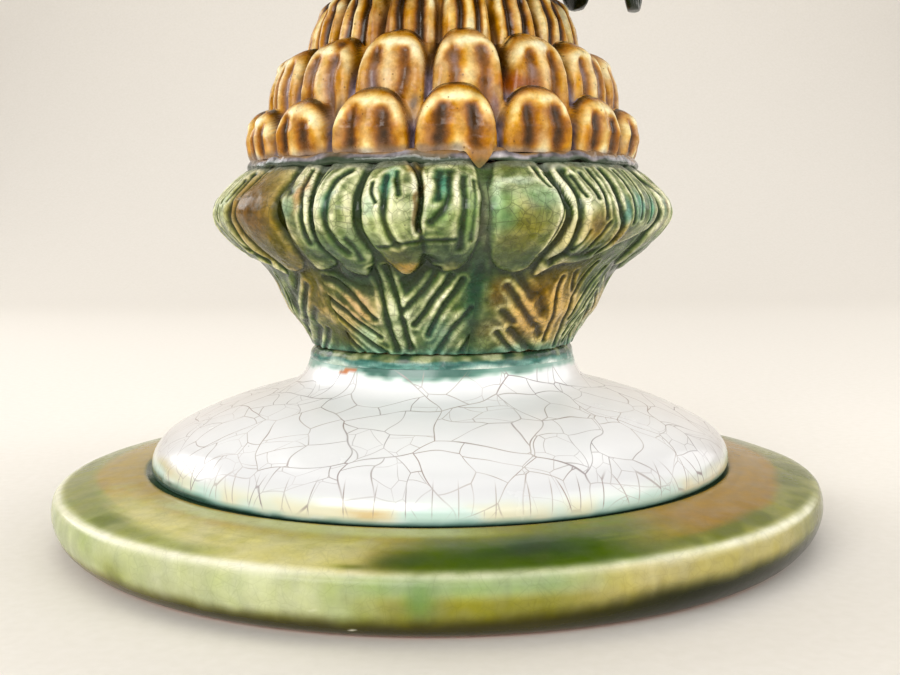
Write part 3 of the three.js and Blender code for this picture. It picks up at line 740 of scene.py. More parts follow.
LEAF_B = {
    "lobes": [
        ([(-25.1, 94.0), (-21.9, 96.0), (-18.7, 97.3), (-15.0, 97.6), (-12.7, 96.1), (-11.4, 93.4), (-10.7, 90.8), (-10.0, 87.8), (-9.7, 85.3), (-9.7, 83.0), (-10.1, 80.6), (-10.9, 78.3), (-11.7, 75.9), (-12.4, 73.9), (-13.5, 72.5), (-16.7, 71.8), (-20.8, 72.6), (-23.5, 74.6), (-25.4, 78.7), (-26.7, 84.4), (-26.6, 90.1)], 3.2, 3.6),
        ([(-10.1, 96.6), (-8.4, 94.2), (-8.1, 91.3), (-7.1, 88.3), (-6.6, 85.5), (-6.5, 82.5), (-7.1, 79.7), (-8.0, 76.8), (-9.0, 73.9), (-9.0, 70.9), (-6.8, 72.3), (-3.8, 73.5), (1.4, 73.6), (6.1, 74.6), (9.4, 76.5), (12.4, 78.0), (16.0, 79.2), (19.8, 80.6), (23.0, 82.6), (24.3, 86.0), (24.4, 91.0), (23.6, 95.3), (19.7, 97.2), (9.0, 97.6), (-2.4, 97.6)], 2.8, 2.4),
    ],
    "top_grooves": [
        ([(-13.8, 96.6), (-13.3, 94.6), (-12.4, 92.5)], 1.6, 1.1),
        ([(-11.7, 95.6), (-10.6, 93.0), (-10.3, 90.1), (-10.0, 87.3), (-10.2, 84.3), (-10.6, 82.0), (-11.1, 79.0), (-11.9, 75.9)], 0.9, 0.8),
        ([(-6.4, 96.2), (-6.3, 93.3), (-6.1, 90.6), (-5.9, 87.8), (-5.4, 85.0), (-4.9, 82.0), (-4.4, 79.1), (-4.7, 76.5), (-6.7, 73.8)], 2.2, 2.2),
        ([(-4.5, 94.8), (-4.5, 91.8), (-4.0, 89.9)], 1.3, 1.1),
        ([(-1.2, 95.3), (-1.1, 92.4), (-0.6, 89.7)], 1.2, 1.1),
        ([(2.3, 96.4), (2.1, 93.4), (1.7, 90.5), (1.6, 87.6), (2.1, 85.0)], 1.2, 1.1),
        ([(7.1, 96.6), (7.0, 93.3), (6.1, 90.1), (6.4, 86.7), (8.3, 83.8), (9.1, 81.4), (8.7, 78.5), (6.7, 75.8)], 1.7, 1.8),
        ([(12.1, 96.5), (12.1, 93.2), (11.5, 90.2), (11.7, 86.7), (12.3, 83.8)], 1.0, 0.9),
        ([(16.4, 96.4), (16.2, 93.3), (15.6, 90.2), (14.9, 87.3), (14.6, 84.8)], 0.9, 0.9),
        ([(21.1, 96.3), (20.9, 93.5), (20.2, 90.1), (19.3, 86.8), (18.6, 83.8)], 0.9, 0.9),
        ([(3.4, 83.8), (2.5, 81.5), (1.6, 78.8), (0.8, 76.6)], 1.2, 0.7),
        ([(-1.7, 82.0), (-2.0, 79.6), (-3.1, 77.2)], 1.0, 0.6),
    ],
    "veins": [
        ([(-14.5, 70.2), (-11.3, 67.9), (-7.7, 65.3)], 2.6, 1.5),
        ([(-16.7, 67.6), (-13.1, 64.7), (-8.5, 61.5), (-2.5, 58.0)], 2.0, 1.5),
        ([(-16.7, 61.7), (-11.5, 58.9)], 2.0, 1.0),
        ([(-11.2, 57.0), (-5.1, 53.9), (2.5, 50.8)], 2.4, 1.5),
        ([(-16.5, 56.4), (-12.1, 53.6), (-6.2, 50.7)], 1.6, 1.1),
        ([(-4.7, 65.2), (-1.2, 62.0)], 4.4, 1.4),
        ([(-0.3, 57.7), (3.7, 55.1)], 2.0, 1.1),
        ([(2.3, 69.3), (2.2, 66.5), (3.4, 62.8), (5.8, 58.5), (7.7, 53.5)], 1.4, 1.3),
        ([(7.3, 70.5), (9.3, 66.3)], 1.2, 1.0),
        ([(10.7, 63.6), (12.2, 59.5), (15.0, 55.3), (16.3, 51.7)], 1.4, 1.3),
        ([(13.7, 72.8), (12.7, 68.2), (10.2, 64.4)], 1.2, 1.1),
        ([(21.8, 71.5), (18.4, 66.4), (15.6, 62.6), (15.2, 58.9)], 1.1, 1.1),
        ([(24.4, 67.0), (21.6, 62.5), (19.9, 58.2), (19.6, 54.3)], 1.1, 1.1),
        ([(24.9, 60.2), (23.6, 56.4), (22.6, 52.4)], 1.1, 1.0),
    ],
    "pits": [
        ([(-8.4, 74.4), (-5.1, 75.5), (0.5, 75.9), (5.4, 77.3)], 3.0, 1.0),
    ],
}


def mirrored(leaf):
    return {k: [([(-a, z) for a, z in line], w, d) for line, w, d in v] for k, v in leaf.items()}


def line_distance(a, s, rg, line):
    """Distance in mm from grid points to a line of (azimuth deg, height)."""
    best = np.full(a.shape, 1e9)
    k = rg * PI / 180
    for (a0, z0), (a1, z1) in zip(line[:-1], line[1:]):
        s0, s1 = s_of_z(z0), s_of_z(z1)
        x, y = (a - a0) * k, s - s0
        dx, dy = (a1 - a0) * k, s1 - s0
        t = np.clip((x * dx + y * dy) / (dx * dx + dy * dy + 1e-9), 0, 1)
        best = np.minimum(best, np.hypot(x - t * dx, y - t * dy))
    return best


def curve_points(line, n=5):
    """Rounds a coarse line or outline by Catmull-Rom."""
    p = np.array(line, float)
    out = []
    for i in range(len(p) - 1):
        p0 = p[i - 1] if i else 2 * p[0] - p[1]
        p3 = p[i + 2] if i + 2 < len(p) else 2 * p[-1] - p[-2]
        for t in np.linspace(0, 1, n, endpoint=False):
            out.append(0.5 * (2 * p[i] + (p[i + 1] - p0) * t + (2 * p0 - 5 * p[i] + 4 * p[i + 1] - p3) * t * t
                              + (3 * p[i] - p0 - 3 * p[i + 1] + p3) * t ** 3))
    out.append(p[-1])
    return [tuple(q) for q in out]


def inside_outline(a, z, line):
    res = np.zeros(a.shape, bool)
    n = len(line)
    for i in range(n):
        (a0, z0), (a1, z1) = line[i], line[(i + 1) % n]
        if z0 == z1:
            continue
        hit = ((z0 > z) != (z1 > z)) & (a < (a1 - a0) * (z - z0) / (z1 - z0) + a0)
        res ^= hit
    return res


# the leaves' borders: azimuth of the left edge of leaf 1, 2, ...
BORDERS = [-39.0, 10.3, 62.4, 114.2, 165.6, 217.1, 268.9, 321.0]
CENTRES = [-14.3, 37.1, 88.4, 140.0, 191.4, 243.0, 294.8]
PATTERNS = [LEAF_A, LEAF_B, LEAF_A, mirrored(LEAF_B), LEAF_B, mirrored(LEAF_A), mirrored(LEAF_B)]

# coloured places in the glaze, one a painted highlight: azimuth, height, half sizes, colour on ridges,
# colour in hollows, strength
PATCHES = [
    (-29, 63.0, 8.0, 5.5, (196, 156, 98), (70, 72, 26), 0.85),
    (-36, 57.0, 5.0, 5.0, (186, 160, 96), (84, 78, 26), 0.7),
    (-30, 55.0, 5.0, 3.0, (178, 205, 165), (70, 104, 66), 0.7),
    (-14, 58.0, 5.0, 8.0, (206, 214, 172), (52, 74, 34), 0.6),
    (-27, 70.5, 8.0, 3.5, (84, 104, 72), (44, 66, 42), 0.85),
    (-2, 56.0, 5.0, 4.0, (112, 146, 112), (44, 86, 74), 0.7),
    (-10, 73.2, 5.5, 2.2, (176, 136, 66), (98, 84, 30), 0.85),
    (-10, 76.5, 5.0, 1.8, (150, 138, 70), (92, 92, 44), 0.7),
    (1, 76.5, 5.5, 3.2, (84, 104, 62), (40, 58, 32), 0.85),
    (3, 73.0, 4.0, 1.6, (120, 112, 50), (60, 66, 26), 0.6),
    (-7, 97.6, 2.6, 2.0, (112, 84, 16), (80, 58, 10), 0.95),
    (-5.2, 88.0, 0.8, 8.0, (84, 62, 14), (52, 40, 10), 0.8),
    (-33.3, 91.5, 1.1, 4.5, (186, 142, 92), (120, 90, 50), 0.8),
    (-36.5, 87.5, 2.2, 3.0, (120, 172, 150), (62, 124, 104), 0.8),
    (-25.5, 88.5, 1.5, 3.0, (120, 160, 128), (66, 116, 90), 0.7),
    (-12.0, 93.0, 1.6, 3.4, (110, 160, 128), (50, 110, 92), 0.85),
    (-16.0, 87.0, 1.6, 3.0, (160, 190, 160), (70, 116, 96), 0.6),
    (0.2, 92.6, 1.8, 3.2, (70, 128, 104), (34, 86, 70), 0.95),
    (-1.0, 85.0, 3.0, 3.0, (96, 128, 66), (52, 80, 30), 0.8),
    (-20, 79.0, 6.0, 4.0, (112, 136, 84), (66, 92, 50), 0.8),
    (-30, 78.0, 5.0, 4.0, (96, 124, 78), (56, 84, 50), 0.8),
    (-12, 82.0, 6.0, 2.8, (196, 206, 140), (112, 122, 52), 0.5),
    (6.5, 86.0, 1.8, 8.0, (104, 132, 70), (72, 102, 50), 0.8),
    (9.8, 85.0, 1.8, 10.0, (164, 166, 132), (136, 140, 106), 0.95),
    (9.6, 66.0, 3.2, 8.0, (56, 88, 56), (30, 62, 42), 0.95),
    (12.6, 87.0, 2.6, 6.0, (138, 172, 122), (108, 146, 98), 0.85),
    (18.5, 82.5, 5.5, 7.0, (146, 140, 66), (112, 108, 40), 0.85),
    (22.0, 90.0, 6.0, 2.5, (150, 180, 140), (112, 150, 96), 0.7),
    # painted highlight: pale arc along the top of lobe 2a
    (17.5, 93.6, 5.0, 1.1, (212, 222, 200), (160, 180, 150), 0.75),
    (12.0, 90.5, 1.4, 4.5, (186, 206, 170), (130, 160, 120), 0.6),
    (14.5, 84.5, 2.6, 2.2, (84, 124, 76), (60, 100, 60), 0.6),
    (16.0, 96.5, 4.0, 1.6, (104, 116, 56), (72, 84, 34), 0.8),
    (15, 75.5, 4.0, 2.5, (128, 132, 62), (84, 96, 44), 0.8),
    (18, 66.5, 4.0, 4.0, (220, 216, 166), (110, 84, 30), 0.8),
    (17, 57.5, 4.0, 3.0, (206, 208, 156), (96, 84, 30), 0.7),
    (33, 62.0, 13.0, 11.0, (214, 168, 92), (108, 78, 20), 0.92),
    (44, 60.0, 9.0, 12.0, (210, 172, 102), (104, 82, 24), 0.85),
    (36, 52.0, 8.0, 2.6, (190, 196, 150), (80, 90, 50), 0.7),
    (37, 82.5, 4.5, 4.0, (168, 136, 56), (108, 84, 20), 0.85),
    (47, 80.5, 4.0, 3.0, (158, 128, 50), (92, 76, 18), 0.7),
    (29, 80.0, 4.0, 5.0, (200, 184, 118), (110, 92, 34), 0.6),
    (38, 75.5, 9.0, 2.2, (70, 88, 58), (40, 58, 34), 0.8),
    (46, 86.5, 1.3, 2.8, (92, 150, 132), (56, 112, 98), 0.9),
    (51, 88.0, 1.8, 3.4, (96, 150, 130), (50, 108, 94), 0.85),
    (57, 87.5, 1.6, 3.2, (100, 152, 128), (52, 112, 92), 0.8),
    (-50, 87.0, 12.5, 12.0, (124, 86, 16), (84, 60, 6), 0.97),
    (-49, 87.5, 4.0, 4.5, (96, 66, 14), (74, 52, 8), 0.85),
    (-53, 82.0, 3.0, 3.0, (98, 84, 16), (70, 60, 8), 0.7),
    (-46, 76.0, 9.0, 4.0, (118, 106, 36), (76, 72, 20), 0.9),
    (-63, 88.0, 3.0, 7.0, (190, 204, 160), (128, 136, 76), 0.85),
    (-55, 76.0, 4.0, 3.0, (206, 190, 124), (112, 100, 40), 0.7),
    (-45, 66.0, 8.0, 9.0, (176, 138, 70), (96, 84, 26), 0.8),
    (-41, 58.0, 4.0, 5.0, (196, 172, 108), (88, 88, 34), 0.7),
]


def build_leaf(k):
    left, right, centre, pattern = BORDERS[k], BORDERS[k + 1], CENTRES[k], PATTERNS[k]
    nu, nv = 206, 226
    a_loc = np.linspace(left + 0.004, right - 0.004, nu)[:, None] - centre
    s_line = np.linspace(0, _s[-1], nv)
    z_line = np.interp(s_line, _s, _fine)
    r_line = np.interp(z_line, _fine, _r)
    a = a_loc + np.zeros((1, nv))
    s, z, rg = (q[None, :] + 0 * a for q in (s_line, z_line, r_line))
    A = np.radians(a + centre)
    P0 = place(rg, A, z)
    wob_a = a + 0.55 * noise(P0, 9, 51) + 0.2 * noise(P0, 3.5, 52)
    # blade set back under the lobes
    floor = 0.35 + 1.15 * smooth(60, 68, z) + 0.7 * smooth(76, 86, z)
    floor = floor * (1 + 0.25 * noise(P0, 10, 53)) * (1 - 0.5 * smooth(89, 96.5, z))
    gap = np.minimum(a_loc - a_loc[0], a_loc[-1] - a_loc) * rg * PI / 180
    floor = floor * (1 - 0.45 * (1 - smooth(0.0, 3.5, gap)))
    H = -floor
    for line, rise, edge in pattern["lobes"]:
        line = [(a0, z0 + 6 * smooth(94.5, 96.5, z0)) for a0, z0 in line]
        line = curve_points(line + [line[0]], 4)
        d = line_distance(wob_a, s, rg, line)
        ins = inside_outline(wob_a, z, line)
        d = np.where(ins, d, -d) + 0.75
        edge = edge * (0.62 + 0.55 * smooth(80, 74, z))
        t = np.clip(d / edge, 0, 1)
        pillow = np.sqrt(1 - (1 - t) ** 2)
        dome = 0.35 * np.clip((d - 0.6 * edge) / 5.0, 0, 1) - 0.15
        H = np.maximum(H, -floor + (floor + dome) * pillow)
    H = blur(H, 1.0, 1.0)
    groove = 0 * H
    for key in ("top_grooves", "veins", "pits"):
        for line, width, depth in pattern[key]:
            line = curve_points(line, 6)
            d = line_distance(wob_a, s, rg, line)
            cut = np.exp(-np.abs(d / (0.44 * width)) ** 1.7)
            depth = depth * (0.40 if key == "veins" else 0.44 if key == "top_grooves" else 0.5)
            H = H - depth * cut
            if key != "pits":       # raised edges beside each cut, as a tool leaves them
                H = H + 0.26 * depth * np.exp(-((d - 1.0 * width) / (0.42 * width)) ** 2)
                groove = np.maximum(groove, cut)
    # valley along both borders
    H = H - 0.55 * (1 - smooth(0.0, 2.6, gap)) * (0.45 + 0.55 * smooth(58, 74, z))
    H = H + 0.22 * fbm(P0, 8, 2, 54) + 0.10 * noise(P0, 3.2, 50) + 0.04 * noise(P0, 1.6, 55)
    H = np.minimum(H, 0.5)
    lim = np.interp(z, CUP_Z, CUP_R) + 1.0 - rg
    H = np.maximum(H, lim)
    dr, dz = np.gradient(r_line, s_line), np.gradient(z_line, s_line)
    R, Z = rg + H * dz[None], z - H * dr[None]
    Z = np.clip(Z, 50.7, 98.4)
    P = place(R, A, Z)

    # -------- glaze: thin and pale on ridges, deep and dark where it pooled
    step = _s[-1] / nv
    crisp = np.clip(blur(H, 0.42 / step, 0.42 / step) - H, -0.12, 0.16)
    near = blur(H, 1.0 / step, 1.0 / step) - H
    wide = blur(H, 2.8 / step, 2.8 / step) - H
    n1, n2, n3 = fbm(P0, 12, 3, 56), fbm(P0, 4, 3, 57), fbm(P0, 1.4, 2, 58)
    t = 0.56 + 2.0 * crisp + 0.80 * near + 0.38 * wide + 0.14 * n1 + 0.21 * n2 + 0.13 * n3 + 0.26 * groove
    # painted shade and light: the lobes' undersides (z 66 to 82) darkened, their upper parts (above z 84) lightened;
    # darker again just under the seam
    t = t + 0.20 * smooth(82, 76, z) * smooth(66, 71, z) - 0.11 * smooth(84, 92, z) + 0.14 * smooth(97.0, 98.2, z)
    t = t + 0.12 * (1 - smooth(0.2, 2.6, gap))
    t = np.clip(t, 0, 1)
    stops = [(0.0, (236, 234, 200)), (0.15, (216, 216, 172)), (0.30, (170, 176, 126)), (0.46, (118, 130, 80)),
             (0.60, (80, 98, 52)), (0.76, (50, 72, 36)), (1.0, (34, 50, 24))]
    col = ramp(t, stops)
    azf = wrap_deg(a + centre)
    period = 102.86
    front = (azf > -75) & (azf < 66)
    azp = np.where(front, azf, (azf + 39.0) % period - 39.0)
    away = np.where(front, 1.0, 0.8)
    hollow = smooth(0.30, 0.72, t)
    az_w = azp + 1.6 * n2 + 0.8 * n1
    z_w = z + 1.0 * n2 + 0.8 * n1
    for a0, z0, ra, rz, hi, lo, amount in PATCHES:
        w = np.exp(-(((az_w - a0) / ra) ** 2 + ((z_w - z0) / rz) ** 2) ** 1.5) * amount * away
        tint = mix(np.broadcast_to(hi, P.shape), lo, hollow)
        tint = tint * (1 - 0.35 * smooth(0.75, 1.0, t))[..., None]
        col = mix(col, tint, w)
    # blue-green where it stands at the foot, grey under the seam
    foot = 0.75 * smooth(53.6, 50.6, z + 1.4 * n2)
    col = mix(col, mix(np.broadcast_to((92, 150, 136), P.shape), (34, 84, 76), hollow), 0.85 * foot)
    under = smooth(96.6, 97.6, z + 0.9 * n1 + 0.5 * n2)
    col = mix(col, ramp(0.5 + 0.5 * n2 + 0.4 * n3, [(0, (62, 66, 54)), (0.5, (104, 108, 98)), (1, (160, 160, 154))]), 0.7 * under)
    # inside of the leaf, bare
    zi = np.array([98.3, 94, 88, 80, 70, 60, 50.8])
    ri = np.interp(zi, CUP_Z, CUP_R) + 0.35
    Pi = place(ri[None] + 0 * A[:, :7], A[:, :7], zi[None] + 0 * A[:, :7])
    ci = np.broadcast_to((170.0, 120.0, 84.0), Pi.shape)
    V = np.concatenate([P, Pi], axis=1)
    C = np.concatenate([col, ci], axis=1)
    n = V.shape[1]
    quads = grid_quads(nu, n, False, True)
    caps = [list(range(n)), list(range((nu - 1) * n, nu * n))[::-1]]
    name = "calyx_leaf_%d" % (k + 1)
    ob = make_mesh(name + "_glazed", V, quads, caps, colour=lin(np.clip(C, 0, 255)))
    return finish_piece(ob, M_LEAF, [name])


for _k in range(7):
    build_leaf(_k)


# ------------------------------------------------------------------ seam
def seam_ring():
    pts = [[43.2, 98.5, 1], [51.5, 98.5, 1], [52.7, 98.0], [53.5, 98.1], [53.9, 98.7], [53.8, 99.5], [53.4, 100.2],
           [52.9, 100.8], [52.3, 100.8], [51.2, 100.5, 1], [43.2, 100.4, 1]]
    feet = np.array([c[0] for c in ROW_1])

    def gap(A):
        """1 between two scales, 0 under a scale."""
        d = np.min(np.abs(wrap_deg(np.degrees(A)[..., None] - feet)), axis=-1)
        return smooth(5.5, 10.5, d)

    def warp(R, Z, A):
        p = place(R, A, 0 * Z + 99, False)
        w = smooth(48, 51.5, R)
        R = R - w * 0.5 * blob(np.degrees(A), 0, 9.4, 0, 4.0, 1.0)
        R = R + w * (0.55 * noise(p, 9, 61) + 0.32 * noise(p, 3.2, 62) + 0.14 * noise(p, 1.2, 63))
        Z = 99.43 + (Z - 99.43) * (1 + w * (0.35 * noise(p, 6, 60))) + w * 0.62 * (noise(p, 10, 64) * 0.7 + 0.35 * noise(p, 3.4, 65))
        Z = Z + w * 0.45 * (gap(A) - 0.35)
        return R, Z

    P, R, A, Z, S = lathe(pts, 0.3, 560, warp)
    n1, n2 = fbm(P, 7, 3, 66), fbm(P, 1.8, 2, 67)
    col = ramp(0.55 + 0.4 * n1 + 0.45 * n2,
               [(0.1, (62, 58, 56)), (0.4, (104, 98, 102)), (0.7, (148, 141, 147)), (1.0, (196, 191, 190))])
    col = mix(col, (96, 78, 44), 0.6 * smooth(0.1, 0.5, fbm(P, 11, 2, 68)))
    front = smooth(50.5, 52.0, R)
    lift = 0.9 * gap(A)
    col = mix(col, (46, 62, 42), 0.9 * front * smooth(99.35, 98.7, Z - 0.4 * lift + 0.8 * n1 + 0.3 * n2))
    col = mix(col, (126, 92, 52), 0.85 * front * smooth(99.6, 100.2, Z - lift + 0.9 * n1 + 0.3 * n2))
    ob = make_mesh("seam_ring_glazed", P, grid_quads(*R.shape, True, True), colour=lin(np.clip(col, 0, 255)))
    return finish_piece(ob, M_SEAM, ["seam_ring"])


# ------------------------------------------------------------------ pineapple
CORE_Z = [100.6, 113.2, 127.8, 142, 157.1]
CORE_R = [46.4, 42.4, 34.2, 25.2, 18.2]
plain_hollow("pineapple_core_body", "pineapple_core",
             [[r - 0.2, z, 1] for z, r in zip(CORE_Z, CORE_R)]
             + [[13.4, 157.1, 1], [20.2, 142], [29.2, 127.8], [37.4, 113.2], [41.6, 100.6, 1]],
             M_BISCUIT, 71)


def fill_round(front):
    """Sixteen places round a row: the front ones as seen, the rest evenly between."""
    rest = 16 - len(front)
    gap = (front[0][0] + 360 - front[-1][0]) / (rest + 1)
    out = list(front)
    rng = np.random.RandomState(int(abs(front[0][0]) * 10))
    mean = sum(f[1] for f in front) / len(front)
    for i in range(rest):
        out.append((front[-1][0] + gap * (i + 1) + rng.uniform(-1.2, 1.2), mean + rng.uniform(-0.9, 0.5),
                    rng.uniform(0.93, 1.03)))
    return out


# azimuth, tip height, width factor of each scale
ROW_1 = fill_round([(-63.6, 113.6, 0.9), (-43.0, 114.8, 1.0), (-19.6, 116.3, 1.05), (3.8, 117.0, 1.1), (27.0, 116.7, 1.06), (48.8, 115.6, 0.96), (71.0, 113.8, 0.95)])
ROW_2 = fill_round([(-62.0, 129.4, 0.96), (-39.5, 130.4, 1.0), (-16.4, 131.2, 1.06), (7.6, 131.3, 1.0), (31.5, 130.7, 1.06), (53.5, 130.2, 0.98), (76.0, 129.4, 0.95)])
ROW_3 = fill_round([(-60.0, 144.4, 0.95), (-37.5, 145.2, 1.05), (-13.5, 145.6, 1.02), (9.5, 145.6, 1.0), (31.0, 145.2, 0.98), (52.0, 144.8, 1.0), (74.0, 144.2, 0.96)])
ROW_4 = fill_round([(-56.0, 156.2, 1.0), (-33.5, 156.4, 1.0), (-10.5, 156.8, 1.0), (13.0, 156.6, 1.0), (35.5, 156.2, 1.0), (58.0, 156.4, 1.0)])


AMBER = [(0.0, (246, 234, 188)), (0.16, (232, 208, 146)), (0.32, (204, 158, 82)), (0.48, (172, 116, 38)),
         (0.64, (134, 80, 14)), (0.80, (96, 56, 6)), (1.0, (50, 30, 4))]

# one entry per row: foot, height of the closed strip, tongue face (z, r), floor between
# tongues (z, r), radius behind the tips, height of the round top of a tongue, lip depth
ROWS = {
    1: dict(scales=ROW_1, z0=100.45, band=113.25, face=([100, 102, 106.5, 111, 117.5], [52.6, 53.4, 54.2, 53.4, 51.0]),
            floor=([100, 102, 105, 107, 113.4], [50.6, 49.6, 48.6, 48.2, 47.9]), back=48.0, arch=16.3, lip=3.9, wide=0.94, square=2.6),
    2: dict(scales=ROW_2, z0=113.25, band=127.85, face=([113, 117, 120.5, 126, 131.5], [47.9, 47.9, 47.4, 45.6, 42.4]),
            floor=([113, 118, 122, 127.9], [46.2, 44.4, 41.8, 37.4]), back=37.6, arch=12.4, lip=4.2, wide=0.92, square=2.7),
    3: dict(scales=ROW_3, z0=127.85, band=142.05, face=([127, 131, 136, 140, 146], [37.4, 37.2, 36.2, 34.6, 31.6]),
            floor=([127, 132, 136, 142.1], [36.0, 33.8, 31.6, 28.8]), back=29.0, arch=11.5, lip=3.6, wide=0.92, square=2.6),
    4: dict(scales=ROW_4, z0=142.05, band=153.4, face=([141, 145, 148, 151, 157], [28.8, 28.6, 27.6, 26.6, 24.0]),
            floor=([141, 146, 149, 153.4], [27.8, 26.0, 24.2, 22.0]), back=20.6, arch=10.0, lip=3.0, wide=0.92, square=2.4),
}


def tongues(index, az, Z):
    """Fields of one row of scales over a grid: place across a scale (-1..1), place up
    it, depth inside its outline, the two grooves and so on."""
    row = ROWS[index]
    scales = row["scales"]
    nu = len(az)
    centres = np.array([wrap_deg(c[0]) for c in scales])
    d = wrap_deg(az[:, None] - centres[None])
    own = np.argmin(np.abs(d), axis=1)
    da = d[np.arange(nu), own]
    tip = np.array([c[1] for c in scales])[own][:, None]
    wid = np.array([c[2] for c in scales])[own]
    order = np.sort(centres)
    half = np.empty(nu)
    for i in range(nu):
        k = int(np.searchsorted(order, centres[own[i]]))
        nxt = order[(k + 1) % 16] if da[i] > 0 else order[k - 1]
        half[i] = abs(wrap_deg(nxt - centres[own[i]])) / 2
    X = (da / half)[:, None] + 0 * Z
    hw = (row["wide"] * np.clip(wid, 0.9, 1.04))[:, None]
    zc = tip - row["arch"]
    n = row["square"]                                # 2 is an ellipse, more is squarer
    top = zc + row["arch"] * np.clip(1 - (np.abs(X) / hw) ** n, 0, 1) ** (1 / n)
    face = np.interp(Z, *row["face"])
    up = np.clip((Z - zc) / row["arch"], 0, 1)
    dx = ((1 - up ** n) ** (1 / n) * hw - np.abs(X)) * face * np.radians(half)[:, None]
    dz = top - Z
    q = 0.16
    u, w = np.clip(dx / 2.3, -3, 3), np.clip(dz / row["lip"], -3, 3)
    t = np.clip(-q * np.log(np.exp(-u / q) + np.exp(-w / q)), 0, 1)
    P0 = place(face, np.radians(az)[:, None] + 0 * Z, Z)
    zr = (Z - row["z0"]) / (tip - row["z0"])
    sway = (0.06 if index < 3 else 0.10) * noise(P0, 8, 70 + index)
    gx, gw = ((0.38, 0.16), (0.37, 0.16), (0.34, 0.15), (0.34, 0.15))[index - 1]
    side_r, side_l = np.exp(-np.abs((X - gx - sway) / gw) ** 2.2), np.exp(-np.abs((X + gx - sway) / gw) ** 2.2)
    tall = 1 + 0.25 * noise(np.stack([X * 0 + tip * 3.1, np.sign(X) * 9, 0 * X], axis=-1), 2.0, 74)
    if index == 1:
        along = smooth(0.76, 0.58, zr * tall) * (0.55 + 0.45 * smooth(0.0, 0.2, zr))
    elif index == 2:
        along = smooth(0.90, 0.72, zr * tall)
    else:
        along = smooth(0.97, 0.85, zr)
    g = (side_r + side_l) * along
    e = np.where(Z > zc, (np.abs(X / (0.90 * hw)) ** n + (np.maximum(Z - zc, 0) / (row["arch"] - row["lip"] * 0.9)) ** n) ** (1 / n),
                 np.abs(X) / (0.90 * hw))
    return dict(X=X, t=t, zr=zr, g=g, e=e, top=top, face=face, P0=P0, along=along)


def scale_relief(index, f):
    """Relief of a tongue's face."""
    X, body, P0 = f["X"], smooth(0.15, 0.8, f["t"]), f["P0"]
    deep = (0.85, 0.95, 1.15, 1.0)[index - 1]
    H = -deep * f["g"] * (1 + 0.3 * noise(P0, 6, 80 + index))
    H = H + 0.30 * np.exp(-(X / 0.14) ** 2) * f["along"]
    H = H - 0.45 * smooth(1.0, 0.7, f["e"]) * smooth(0.35, 0.7, f["zr"])        # face set back under the lip
    H = H * smooth(0.0, 0.6, f["t"])
    return H + 0.28 * fbm(P0, 6, 2, 84 + index) * body + 0.07 * noise(P0, 1.9, 88)


def scale_glaze(index, f, near, wide):
    """Colour of a row's tongues: amber pooled in the grooves and behind the lip, cream
    where it ran thin."""
    X, zr, e, g, P0 = f["X"], f["zr"], f["e"], f["g"], f["P0"]
    n1, n2, n3 = fbm(P0, 9, 3, 90 + index), fbm(P0, 3, 3, 94 + index), fbm(P0, 1.1, 2, 98)
    bias = (0.58, 0.50, 0.46, 0.5)[index - 1]
    t = bias + 0.45 * near + 0.14 * wide + 0.12 * n1 + 0.12 * n2 + 0.06 * n3
    t = t + (0.20, 0.16, 0.46, 0.42)[index - 1] * g
    arch = np.exp(-((e - 1.0 - 0.06 * n2) / 0.13) ** 2) * smooth(0.25, 0.6, zr)
    t = t - (0.40, 0.34, 0.15, 0.15)[index - 1] * arch * (1 - 0.5 * smooth(0.5, 0.95, np.abs(X)))
    t = t + (0.14, 0.12, 0.2, 0.2)[index - 1] * smooth(1.08, 1.22, e) * smooth(0.4, 0.7, zr)
    if index == 1:
        t = t - 0.34 * np.exp(-(X / 0.24) ** 2) * smooth(0.30, 0.02, zr) - 0.10 * np.exp(-(X / 0.18) ** 2)
        t = t - 0.12 * np.exp(-((np.abs(X) - 0.8) / 0.12) ** 2) * smooth(0.6, 0.3, zr)
    if index == 2:
        t = t - 0.16 * smooth(1.05, 0.75, e) * smooth(0.55, 0.85, zr) - 0.12 * np.exp(-(X / 0.16) ** 2)
    if index >= 3:                                   # each rib its own strength
        rib = noise(np.stack([np.round((X + 1) * 1.5) * 5.1, np.floor(P0[..., 0] / 14) * 3.7, 0 * X], axis=-1), 2.3, 75)
        t = t + 0.16 * rib
    col = ramp(np.clip(t, 0, 1), AMBER)
    if index == 2:
        col = mix(col, (206, 190, 160), 0.22 * smooth(0.6, 0.25, t))
        lav = g * smooth(0.78, 0.45, zr) * smooth(-0.35, 0.25, n1 + 0.4 * n2)
        col = mix(col, (150, 124, 124), 0.75 * lav)
        col = mix(col, (128, 104, 108), 0.6 * lav * smooth(0.0, 0.4, near))
    return col


